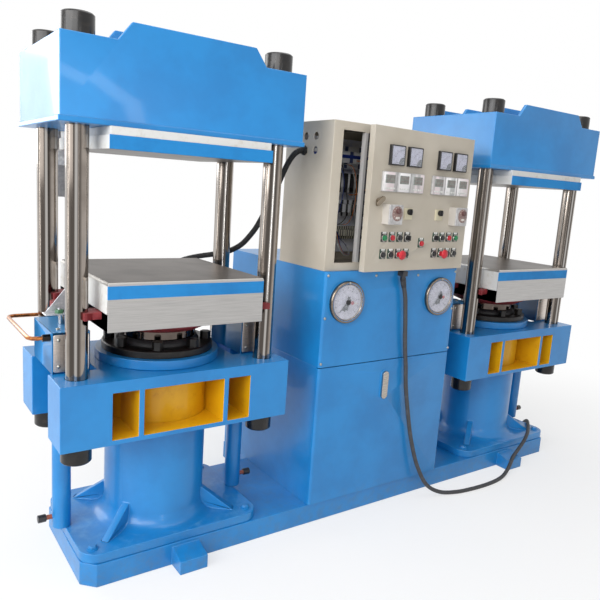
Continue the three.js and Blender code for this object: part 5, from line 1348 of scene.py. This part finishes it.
class PRESS_OT_junction_box(bpy.types.Operator):
    """Hang the grey junction box on a strap behind the left crosshead"""

    bl_idname = "press.junction_box"
    bl_label = "Junction box"

    def execute(self, context):
        """A lidded box with rounded upright edges, carried by a bent strap, with two cable glands."""
        made = Surfaces()
        block(made, *BOX_BODY, 0, 0.006)
        block(made, *BOX_LID, 0, 0.006)
        for low, high in STRAP_BENDS:
            block(made, (STRAP_X[0], *low), (STRAP_X[1], *high), 1, 0.0015)
        for x in BOX_GLANDS_X:
            turned(made, [(0.0095, -0.014), (0.0095, -0.006), (0.0125, -0.005), (0.0125, 0.001)],
                   "Z", (x, 0.322, 1.194), 20, 2)
        middle = (STRAP_X[0] + STRAP_X[1]) / 2
        for z in STRAP_SCREWS_Z:
            turned(made, SCREW_DOME_BACK, "Y", (middle, STRAP_BENDS[0][1][0], z), 12, 1)
        piece = made.build("junction_box", ["box_grey", "galvanised", "black_cap"])
        seat(piece, "machine_frame", "black_plastic")
        return {"FINISHED"}


# Cabinet

DIAL_START = 225
DIAL_SWEEP = 270
DIAL_MARKS = 50
DIAL_FIGURES = 5
DIAL_FACE = 0.0072
DIAL_BOARD = 0.0006
MARK_OUTER = 0.0585
LONG_MARK = 0.0085
SHORT_MARK = 0.004
SETTING_ANGLE = math.radians(-9)
NEEDLE_ANGLE = math.radians(-100)
NEEDLE_TAIL_ANGLE = math.radians(-118)
WINDOW_RADIUS = 0.0668
WINDOW_HOLE = 0.0103
SHROUD_SCREWS = [(-0.338, 0.816), (-0.341, 0.644), (-0.336, 0.974), (-0.106, 0.969), (0.118, 0.965),
                 (0.336, 0.974), (0.338, 0.816), (0.341, 0.644)]
WIRE_DROPS = [(-0.178, 1), (-0.160, 2), (-0.131, 3), (-0.104, 1), (-0.090, 0)]
WIRE_STEP = 0.006
LOOP_COLOURS = (1, 3, 1, 0, 3, 2)


class PressInstrumentSettings(bpy.types.PropertyGroup):
    """Sizes of the instruments' faces."""

    instrument: chosen_length("Instrument", "Side of the square panel instruments", 0.072)
    legend: chosen_length("Legend", "Side of the square legend behind each button", 0.032)
    bezel: chosen_length("Bezel", "Outer radius of the pressure gauges' bezels", 0.0795)


class PRESS_OT_housings(bpy.types.Operator):
    """Finish the blue housings, the lift-off cover with its latch, and the casing screws"""

    bl_idname = "press.housings"
    bl_label = "Housings"

    def execute(self, context):
        """The screw heads are a flattened arc turned about each screw's axis."""
        edge = context.scene.press_stations.sheet_edge
        dressed("lower_cabinet", "blue_enamel", "machine_frame", "blue_paint", edge)
        dressed("front_cover", "blue_enamel", "machine_frame", "blue_paint", edge)
        dressed("gauge_shroud", "shroud_enamel", "machine_frame", "blue_paint", edge)
        dressed("cover_latch", "latch_chrome", "cover_latch_body", "lock_chrome", edge)
        made = Surfaces()
        for x, z in SHROUD_SCREWS:
            turned(made, SCREW_DOME, "Y", (x, HOUSING_FRONT, z), 16)
        seat(made.build("casing_screws", ["zinc"]), "machine_frame", "lock_chrome")
        return {"FINISHED"}


class PRESS_OT_gauges(bpy.types.Operator):
    """Make the bezels, dials, scales, setting pointers and windows of the pressure gauges"""

    bl_idname = "press.gauges"
    bl_label = "Pressure gauges"

    def execute(self, context):
        """One face for each gauge, and copies of the needles with broken edges."""
        bezel = context.scene.press_instruments.bezel
        for tag, side in (("a", -1), ("b", 1)):
            self.gauge(tag, (side * GAUGE_X, HOUSING_FRONT, GAUGE_Z), bezel)
            dressed(f"gauge_needle_{tag}", "black_cap", f"gauge_needle_{tag}_body", "black_plastic", 0.0002)
        return {"FINISHED"}

    def gauge(self, tag, centre, bezel):
        """Rolled bezel, dial and window are profiles turned about the gauge's axis; marks are bars."""
        made = Surfaces()
        ring = [(-0.001, 0.0), (0.0, 0.002), (0.0, 0.011), (-0.0012, 0.0140), (-0.0040, 0.0162),
                (-0.0070, 0.0164), (-0.0100, 0.0152), (-0.0135, 0.0118), (-0.0150, 0.0098), (-0.0150, 0.0)]
        turned(made, [(bezel + inset, height) for inset, height in ring], "Y", centre, 72, 0)
        inner = bezel - 0.0149
        front = DIAL_FACE + DIAL_BOARD
        turned(made, [(0.0001, front), (inner, front), (inner, DIAL_FACE), (0.0001, DIAL_FACE)],
               "Y", centre, 72, 1)
        for k in range(DIAL_MARKS + 1):
            long = k % 5 == 0
            turn = math.radians(DIAL_START - DIAL_SWEEP / DIAL_MARKS * k)
            bar(made, centre, turn, MARK_OUTER - (LONG_MARK if long else SHORT_MARK), MARK_OUTER,
                0.0009 if long else 0.0004, 0.0074, 0.00795, 2)
        for k in range(DIAL_FIGURES + 1):
            self.figure(made, centre, math.radians(DIAL_START - DIAL_SWEEP / DIAL_FIGURES * k), k)
        self.pointers(made, centre)
        turned(made, [(0.0001, 0.0195), (0.0030, 0.0190), (0.0042, 0.0178), (0.0042, 0.0150)],
               "Y", (centre[0], centre[1], centre[2] + bezel - 0.0065), 16, 5)
        piece = made.build(f"gauge_{tag}_face", ["bezel_chrome", "gauge_dial", "scale_ink", "pointer_red",
                                                 "white_label", "zinc"])
        seat(piece, "machine_frame", "black_plastic")
        glass = Surfaces()
        turned(glass, [(WINDOW_HOLE, 0.0148), (WINDOW_RADIUS, 0.0142), (WINDOW_RADIUS, 0.0139),
                       (WINDOW_HOLE, 0.0145)], "Y", centre, 48)
        seat(glass.build(f"gauge_{tag}_window", ["pane"]), "machine_frame", "black_plastic")

    def pointers(self, into, centre):
        """Red setting pointer with its knob and pale flag, the needle's broad tail, and the hub."""
        bar(into, centre, SETTING_ANGLE, 0.006, 0.050, 0.0014, 0.0088, 0.0094, 3)
        turned(into, [(0.0001, 0.0100), (0.0062, 0.0098), (0.0070, 0.0088), (0.0070, 0.0084)], "Y",
               (centre[0] + 0.025, centre[1], centre[2] - 0.004), 20, 3)
        bar(into, centre, SETTING_ANGLE, 0.034, 0.047, 0.0042, 0.0096, 0.0100, 4)
        bar(into, centre, NEEDLE_ANGLE, -0.022, 0.030, 0.0052, 0.0122, 0.0140, 2)
        bar(into, centre, NEEDLE_TAIL_ANGLE, 0.020, 0.036, 0.0070, 0.0090, 0.0110, 2)
        turned(into, [(0.0001, 0.0185), (0.0075, 0.0182), (0.0098, 0.0172), (0.0102, 0.0150),
                      (0.0102, 0.0122)], "Y", centre, 28, 2)

    def figure(self, into, centre, angle, value):
        """One or two small strokes inside each long mark, in place of a printed number."""
        for k in range(2 if value else 1):
            turn = angle + math.radians(2.6 * (k - 0.5 * bool(value)))
            bar(into, centre, turn, 0.0415, 0.0460, 0.0006, 0.0074, 0.0079, 2)


class PRESS_OT_electrical_cabinet(bpy.types.Operator):
    """Finish the beige electrical cabinet and hang the wires that show beside the door"""

    bl_idname = "press.electrical_cabinet"
    bl_label = "Electrical cabinet"

    def execute(self, context):
        """A copy of the cabinet with broken edges, and the wires."""
        edge = context.scene.press_stations.sheet_edge
        dressed("upper_cabinet", "cabinet_coat", "machine_frame", "beige_paint", edge)
        self.wires()
        return {"FINISHED"}

    def wires(self):
        """Wires as tubes along smooth curves: drops from row to row, an orange bundle and a mixed loop."""
        made = Surfaces()
        for k, (x, colour) in enumerate(WIRE_DROPS):
            sway = 0.010 * math.sin(2.3 * k)
            line = [(x, 0.020, 1.385), (x + sway, -0.032, 1.372), (x + sway * 1.6, -0.056, 1.325),
                    (x + sway * 0.6, -0.062 - 0.004 * (k % 3), 1.255), (x - sway, -0.056, 1.180),
                    (x - sway * 0.5, -0.028, 1.148), (x, 0.020, 1.140)]
            tube(made, smooth_path(line, WIRE_STEP), 0.0017, 7, slot=colour)
        for k in range(6):
            across = 0.0034 * k
            line = [(-0.062 + across, 0.010, 1.400), (-0.070 + across, -0.060, 1.392),
                    (-0.084 + across, -0.098 + 0.3 * across, 1.362), (-0.082 + across, -0.100, 1.325),
                    (-0.076 + across, -0.090, 1.292), (-0.066 + across, -0.040, 1.268),
                    (-0.062 + across, 0.010, 1.262)]
            tube(made, smooth_path(line, WIRE_STEP), 0.0018, 7, slot=0)
        for k, colour in enumerate(LOOP_COLOURS):
            drop = 0.004 * k
            line = [(-0.150 + 0.005 * k, 0.018, 1.118), (-0.166 + 0.004 * k, -0.040, 1.110),
                    (-0.196 + 0.004 * k, -0.100, 1.086 - drop),
                    (-0.190 + 0.003 * k, -0.118, 1.052 - drop / 3),
                    (-0.166, -0.122 + drop / 3, 1.030 + drop / 3), (-0.136, -0.110, 1.034),
                    (-0.118, -0.060, 1.066), (-0.110, 0.016, 1.100)]
            tube(made, smooth_path(line, WIRE_STEP), 0.0021, 8, slot=colour)
        piece = made.build(
            "cabinet_wires", ["wire_orange", "wire_grey", "wire_blue", "wire_black"], smooth=60)
        seat(piece, "machine_frame", "black_plastic")


# Instrument door

METERS = (-0.184, -0.087, 0.087, 0.184)
METER_Z = 1.417
METER_FACE = DOOR_FRONT - 0.012
CONTROLLERS = (-0.212, -0.137, -0.062, 0.062, 0.137, 0.212)
CONTROLLER_Z = 1.322
CONTROLLER_FACE = DOOR_FRONT - 0.006
TIMERS = (-0.192, 0.192)
TIMER_Z = 1.205
TIMER_FACE = DOOR_FRONT - 0.034
BUTTON_ROWS = (1.118, 1.055)
BUTTON_FIRST = 0.083
BUTTON_PITCH = 0.042
CENTRE_STOP_Z = 1.096
METER_MARKS = 16
TIMER_MARKS = 12
BUTTON_NODES = {
    "a_close_button": "green_cap", "a_open_button": "red_cap", "a_pump_button": "black_cap",
    "a_mode_selector": "black_cap", "a_heat_button": "black_cap", "a_vent_button": "black_cap",
    "a_stop_mushroom": "red_cap", "a_reset_button": "black_cap", "b_mode_selector": "black_cap",
    "b_pump_button": "black_cap", "b_open_button": "red_cap", "b_close_button": "green_cap",
    "b_heat_button": "black_cap", "b_stop_mushroom": "red_cap", "b_vent_button": "black_cap",
    "b_reset_button": "black_cap", "centre_stop_button": "red_cap",
    "a_rotary_switch": "black_cap", "b_rotary_switch": "black_cap",
}
CAP_SLOT = {"green_cap": "green_plastic", "red_cap": "red_plastic", "black_cap": "black_plastic"}


class PRESS_OT_instrument_door(bpy.types.Operator):
    """Finish the instrument door's sheet and its lock"""

    bl_idname = "press.instrument_door"
    bl_label = "Instrument door"

    def execute(self, context):
        """Copies of the CAD nodes with broken edges."""
        dressed("instrument_door", "door_coat", "door", "beige_paint", 0.0009)
        dressed("door_lock", "lock_grey", "door_lock_body", "lock_chrome", 0.0012)
        return {"FINISHED"}


class PRESS_OT_meters(bpy.types.Operator):
    """Make the faces of the four panel meters"""

    bl_idname = "press.meters"
    bl_label = "Panel meters"

    def execute(self, context):
        """Each face: a dark frame and dial built up in rings, an arc of bars, a quarter-round cover."""
        size = context.scene.press_instruments.instrument
        made, glass = Surfaces(), Surfaces()
        for offset in METERS:
            centre = (CLUSTER_X - offset, METER_FACE, METER_Z)
            frame_rings = [(0.0, -0.002), (0.0, 0.0015), (0.0010, 0.0028), (0.0036, 0.0028),
                           (0.0042, 0.0016), (0.0042, 0.0006)]
            stack(made, centre, (size, size), frame_rings, 0.003, 0)
            stack(made, centre, (size - 0.009, size - 0.009), [(0.0, 0.0002), (0.0, 0.0010)], 0.002, 1)
            pivot = (centre[0] + 0.030, centre[1], centre[2] - 0.030)
            for k in range(METER_MARKS):
                bar(made, pivot, math.radians(94 + 5.6 * k), 0.047 if k % 5 == 0 else 0.050, 0.053,
                    0.0005, 0.0006, 0.0014, 2)
            bar(made, pivot, math.radians(173), 0.018, 0.049, 0.0005, 0.0012, 0.0016, 2)
            sector(made, pivot, 0.024, math.pi / 2, math.pi, 0.0008, 0.0022, 0)
            stack(glass, centre, (size - 0.009, size - 0.009), [(0.0, 0.0023), (0.0, 0.0026)], 0.003)
        piece = made.build("panel_meters", ["black_cap", "meter_dial", "scale_ink"], DOOR_PLACE)
        seat(piece, "door", "black_plastic")
        seat(glass.build("panel_meter_windows", ["pane"], DOOR_PLACE), "door", "black_plastic")
        return {"FINISHED"}


class PRESS_OT_controllers(bpy.types.Operator):
    """Make the faces of the six temperature controllers"""

    bl_idname = "press.controllers"
    bl_label = "Temperature controllers"

    def execute(self, context):
        """Each face: a pale glossy film in a thin frame, a grey window with digits, and four keys."""
        size = context.scene.press_instruments.instrument
        made = Surfaces()
        for offset in CONTROLLERS:
            centre = (CLUSTER_X - offset, CONTROLLER_FACE, CONTROLLER_Z)
            frame_rings = [(0.0, -0.002), (0.0, 0.003), (0.0008, 0.0044), (0.0016, 0.0044), (0.0020, 0.0038)]
            stack(made, centre, (size, size), frame_rings, 0.004, 0)
            stack(made, centre, (size - 0.0042, size - 0.0042),
                  [(0.0, 0.0030), (0.0, 0.0046), (0.0006, 0.0050)], 0.0035, 1)
            stack(made, (centre[0], centre[1], centre[2] + 0.0095), (size - 0.022, size - 0.042),
                  [(0.0, 0.0044), (0.0, 0.0052), (0.0005, 0.0055)], 0.002, 2)
            for row, height in ((0.0165, 0.0095), (0.0030, 0.0080)):
                for k in range(4):
                    corner = (centre[0] - 0.0165 + 0.0105 * k, centre[1] - 0.0056, centre[2] + row)
                    self.digit(made, corner, height)
            for k in range(4):
                stack(made, (centre[0] - 0.021 + 0.014 * k, centre[1], centre[2] - 0.0235), (0.0105, 0.0062),
                      [(0.0, 0.0044), (0.0, 0.0056), (0.0006, 0.0060)], 0.0015, 4)
        finishes = ["timer_case", "front_film", "window_dark", "digit_red", "white_label"]
        piece = made.build("temperature_controllers", finishes, DOOR_PLACE)
        seat(piece, "door", "black_plastic")
        return {"FINISHED"}

    def digit(self, into, corner, height):
        """Unlit seven-segment figure of slim bars."""
        width = height * 0.52
        thick = height * 0.09
        flat = [(width / 2, level, width, thick) for level in (0, height / 2, height)]
        upright = [(x, level, thick, height * 0.4)
                   for level in (height * 0.25, height * 0.75) for x in (0, width)]
        for x, z, wide, high in flat + upright:
            stack(into, (corner[0] + x, corner[1], corner[2] + z - height / 2), (wide, high),
                  [(0, -0.0004), (0, 0.0002)], 0.0003, 3)


class PRESS_OT_timers(bpy.types.Operator):
    """Make the faces of the two timers"""

    bl_idname = "press.timers"
    bl_label = "Timers"

    def execute(self, context):
        """Each face: a pale frame, a brown dial and knob turned about their axis, and bars as marks."""
        size = context.scene.press_instruments.instrument
        made = Surfaces()
        for offset in TIMERS:
            centre = (CLUSTER_X - offset, TIMER_FACE, TIMER_Z)
            frame_rings = [(0.0, -0.002), (0.0, 0.001), (0.0015, 0.0025), (0.005, 0.0025), (0.006, 0.0015)]
            stack(made, centre, (size, size), frame_rings, 0.005, 0)
            dial = (centre[0] + 0.006, centre[1], centre[2] + 0.004)
            turned(made, [(0.0001, 0.0042), (0.025, 0.0042), (0.027, 0.003), (0.027, 0.0)], "Y", dial, 40, 1)
            turned(made, [(0.0001, 0.0135), (0.0085, 0.0130), (0.0100, 0.0115), (0.0105, 0.004)], "Y",
                   (dial[0], dial[1], dial[2] + 0.010), 24, 2)
            stack(made, (dial[0], dial[1], dial[2] - 0.015), (0.020, 0.008),
                  [(0.0, 0.004), (0.0, 0.0050)], 0.003, 3)
            for k in range(TIMER_MARKS):
                turn = math.radians(360 / TIMER_MARKS * k)
                bar(made, dial, turn, 0.0195, 0.0235, 0.0005, 0.0040, 0.0048, 3)
        piece = made.build(
            "panel_timers", ["timer_case", "timer_brown", "knob_brown", "timer_mark"], DOOR_PLACE)
        seat(piece, "door", "black_plastic")
        return {"FINISHED"}


class PRESS_OT_buttons(bpy.types.Operator):
    """Finish the buttons and switches and make the legends and bezels round them"""

    bl_idname = "press.buttons"
    bl_label = "Buttons and legends"

    def execute(self, context):
        """Copies of the CAD caps with broken edges, and the legends round them."""
        for node, cap in BUTTON_NODES.items():
            dressed(node, cap, node + "_body", CAP_SLOT[cap], 0.0008, 40)
        self.legends(context.scene.press_instruments.legend)
        return {"FINISHED"}

    def legends(self, size):
        """Square legend plate round each turned bezel, with a bare white label above."""
        made = Surfaces()
        places = [(CLUSTER_X + side * (BUTTON_FIRST + BUTTON_PITCH * column), z)
                  for side in (-1, 1) for column in range(4) for z in BUTTON_ROWS]
        places.append((CLUSTER_X, CENTRE_STOP_Z))
        for count, (x, z) in enumerate(places):
            stack(made, (x, DOOR_FRONT, z + 0.003), (size, size * 1.15),
                  [(0.0, -0.0005), (0.0, 0.0014), (0.0006, 0.002)], 0.003, 3 if count % 3 else 0)
            stack(made, (x, DOOR_FRONT, z + 0.0185), (0.020, 0.0075),
                  [(0.0, 0.001), (0.0, 0.0024), (0.0004, 0.0027)], 0.001, 1)
            turned(made, [(0.0108, 0.0046), (0.0112, 0.0056), (0.0128, 0.0058), (0.0142, 0.0048),
                          (0.0146, 0.0034), (0.0146, 0.001)], "Y", (x, DOOR_FRONT, z), 28, 2)
        piece = made.build(
            "button_legends", ["legend_dark", "white_label", "chrome_trim", "legend_green"], DOOR_PLACE)
        seat(piece, "door", "black_plastic")


# Stage

# The photograph's camera: focal length and width in pixels, yaw, pitch and roll in degrees, place in metres
PHOTO_FOCAL = 629.18
PHOTO_WIDTH = 600
PHOTO_TURN = (35.431, -10.301, 3.9)
PHOTO_PLACE = (-1.71577, -2.01994, 1.28678)
SENSOR_WIDTH = 36.0
FLOOR_HALF = 14.0
WHITE = (1, 1, 1, 1)
FILL_STRENGTH = 0.34
# Soft lights: the setting of its power, its place, the point it looks at, and its size
LIGHTS = {
    "key_light": ("key_power", (-4.9, -1.1, 2.6), (-0.4, 0.0, 0.9), (3.2, 3.0)),
    "rear_light": ("rear_power", (-2.7, 3.6, 2.3), (-1.0, 0.0, 1.2), (2.6, 2.0)),
    "fill_light": ("fill_power", (-2.9, -2.7, 2.9), (-0.8, 0.0, 1.4), (2.2, 2.0)),
    "front_strip": ("strip_power", (-1.1, -5.2, 1.6), (-0.6, 0.0, 1.2), (0.32, 3.0)),
    "left_strip": ("strip_power", (-5.2, 1.2, 1.6), (-0.6, 0.0, 1.2), (0.32, 3.0)),
    "top_light": ("top_power", (0.2, -0.4, 4.6), (0.0, 0.0, 0.6), (4.2, 3.0)),
}


class PressStageSettings(bpy.types.PropertyGroup):
    """Floor and light of the studio."""

    floor_colour: chosen_colour("Floor colour", "Colour of the studio floor", tone(246, 246, 246))
    floor_white: bpy.props.FloatProperty(
        name="Floor white", description="Share of plain white in the floor near the machine", default=0.6,
        min=0.0, max=1.0, subtype="FACTOR")
    key_power: chosen_power("Key light", "Power of the large soft light on the left", 160.0)
    rear_power: chosen_power("Rear light", "Power of the soft light behind on the left", 60.0)
    strip_power: chosen_power("Strip lights", "Power of each narrow upright light", 18.0)
    fill_power: chosen_power("Fill light", "Power of the soft light in front", 58.0)
    top_power: chosen_power("Top light", "Power of the soft light overhead", 66.0)


class PRESS_OT_stage(bpy.types.Operator):
    """Make the floor, the soft studio light and the camera at the photograph's place"""

    bl_idname = "press.stage"
    bl_label = "Stage"

    def execute(self, context):
        """World, floor, the soft lights in turn, and the camera."""
        settings = context.scene.press_stage
        scene = context.scene
        scene.view_settings.view_transform = "Standard"
        self.world(scene)
        self.floor(settings)
        for name, (power, place, target, size) in LIGHTS.items():
            self.soft_light(name, place, target, size, getattr(settings, power))
        self.camera(scene)
        return {"FINISHED"}

    def camera(self, scene):
        """Pinhole camera fitted to the photograph: yaw about Z, then pitch, then roll."""
        data = bpy.data.cameras.new("photo_camera")
        data.sensor_width = SENSOR_WIDTH
        data.lens = PHOTO_FOCAL / PHOTO_WIDTH * SENSOR_WIDTH
        camera = bpy.data.objects.new("photo_camera", data)
        scene.collection.objects.link(camera)
        yaw, pitch, roll = (math.radians(value) for value in PHOTO_TURN)
        look = Vector((math.sin(yaw) * math.cos(pitch), math.cos(yaw) * math.cos(pitch), math.sin(pitch)))
        right = Vector((math.cos(yaw), -math.sin(yaw), 0))
        up = right.cross(look)
        side = math.cos(roll) * right + math.sin(roll) * up
        top = -math.sin(roll) * right + math.cos(roll) * up
        turn = Matrix((side, top, -look)).transposed().to_4x4()
        camera.matrix_world = Matrix.Translation(PHOTO_PLACE) @ turn
        scene.camera = camera

    def world(self, scene):
        """White studio for the camera, for reflections and through glass, and a gentler fill."""
        scene.world = bpy.data.worlds.new("studio")
        scene.world.use_nodes = True
        studio = Tree(scene.world.node_tree)
        fill = studio.tree.nodes["Background"]
        studio.feed(fill.inputs["Color"], WHITE)
        studio.feed(fill.inputs["Strength"], FILL_STRENGTH)
        white = studio.node("ShaderNodeBackground", None, {"Color": WHITE, "Strength": 1.0})
        mixed = studio.node("ShaderNodeMixShader", None,
                            {0: studio.seen_directly(), 1: Val(studio, fill.outputs[0]), 2: white})
        studio.feed(studio.tree.nodes["World Output"].inputs["Surface"], mixed)

    def floor(self, settings):
        """Broad pale floor at z = 0: it keeps the machine's shadow and turns white further out."""
        reach = np.array((-FLOOR_HALF, FLOOR_HALF))
        across, along = np.meshgrid(reach, reach)
        corners = np.stack([across, along, np.zeros((2, 2))], -1)
        made = Surfaces()
        made.grid(corners, wrap=False)
        paint = Paint("studio_floor")
        paint.colour(paint.mix(paint.noise(0.6, 2.0), settings.floor_colour[:], tone(240, 240, 240)))
        paint.rough(0.8)
        white = paint.node("ShaderNodeEmission", None, {"Color": WHITE, "Strength": 1.0})
        away = ((paint.x / 1.5) ** 2.0 + paint.y ** 2.0) ** 0.5
        share = paint.seen_directly() * away.ramp(0.7, 2.2, settings.floor_white, 1.0)
        lit = Val(paint, paint.shader.outputs[0])
        mixed = paint.node("ShaderNodeMixShader", None, {0: share, 1: lit, 2: white})
        paint.feed(paint.tree.nodes["Material Output"].inputs["Surface"], mixed)
        FINISH["studio_floor"] = paint.material
        made.build("studio_floor", ["studio_floor"])

    def soft_light(self, name, place, target, size, power):
        """Rectangular light at a place, turned to a target."""
        data = bpy.data.lights.new(name, "AREA")
        data.shape = "RECTANGLE"
        data.size, data.size_y = size
        data.energy = power
        light = bpy.data.objects.new(name, data)
        bpy.context.scene.collection.objects.link(light)
        light.location = place
        light.rotation_mode = "QUATERNION"
        light.rotation_quaternion = (Vector(target) - Vector(place)).to_track_quat("-Z", "Y")


SETTINGS = {
    "press_finish": PressFinishSettings,
    "press_stage": PressStageSettings,
    "press_cords": PressCordSettings,
    "press_stations": PressStationSettings,
    "press_instruments": PressInstrumentSettings,
}
OPERATORS = (
    PRESS_OT_stage, PRESS_OT_castings, PRESS_OT_pillars, PRESS_OT_rams, PRESS_OT_platens,
    PRESS_OT_side_cylinders, PRESS_OT_flange_bolts, PRESS_OT_limit_bracket, PRESS_OT_junction_box,
    PRESS_OT_housings, PRESS_OT_gauges, PRESS_OT_electrical_cabinet, PRESS_OT_instrument_door,
    PRESS_OT_meters, PRESS_OT_controllers, PRESS_OT_timers, PRESS_OT_buttons, PRESS_OT_supply_cable,
    PRESS_OT_platen_conduit,
)


class PRESS_PT_panel(bpy.types.Panel):
    """Lists the settings and the steps of the press's looks"""

    bl_label = "Vulcanizing press"
    bl_idname = "PRESS_PT_panel"
    bl_space_type = "VIEW_3D"
    bl_region_type = "UI"
    bl_category = "Press"

    def draw(self, context):
        """The groups of settings, then a button for each step."""
        layout = self.layout
        for name, group in SETTINGS.items():
            box = layout.box()
            for field in group.__annotations__:
                box.prop(getattr(context.scene, name), field)
        steps = layout.box()
        for operator in OPERATORS:
            steps.operator(operator.bl_idname)


def register():
    """Adds the settings, the steps and the panel to Blender."""
    for name, group in SETTINGS.items():
        bpy.utils.register_class(group)
        setattr(bpy.types.Scene, name, bpy.props.PointerProperty(type=group))
    for operator in OPERATORS:
        bpy.utils.register_class(operator)
    bpy.utils.register_class(PRESS_PT_panel)


def unregister():
    """Takes the panel, the steps and the settings away again."""
    bpy.utils.unregister_class(PRESS_PT_panel)
    for operator in reversed(OPERATORS):
        bpy.utils.unregister_class(operator)
    for name, group in reversed(SETTINGS.items()):
        delattr(bpy.types.Scene, name)
        bpy.utils.unregister_class(group)


def main():
    """Runs the steps in order."""
    register()
    for operator in OPERATORS:
        getattr(bpy.ops.press, operator.bl_idname.split(".")[1])()


if __name__ == "__main__":
    main()
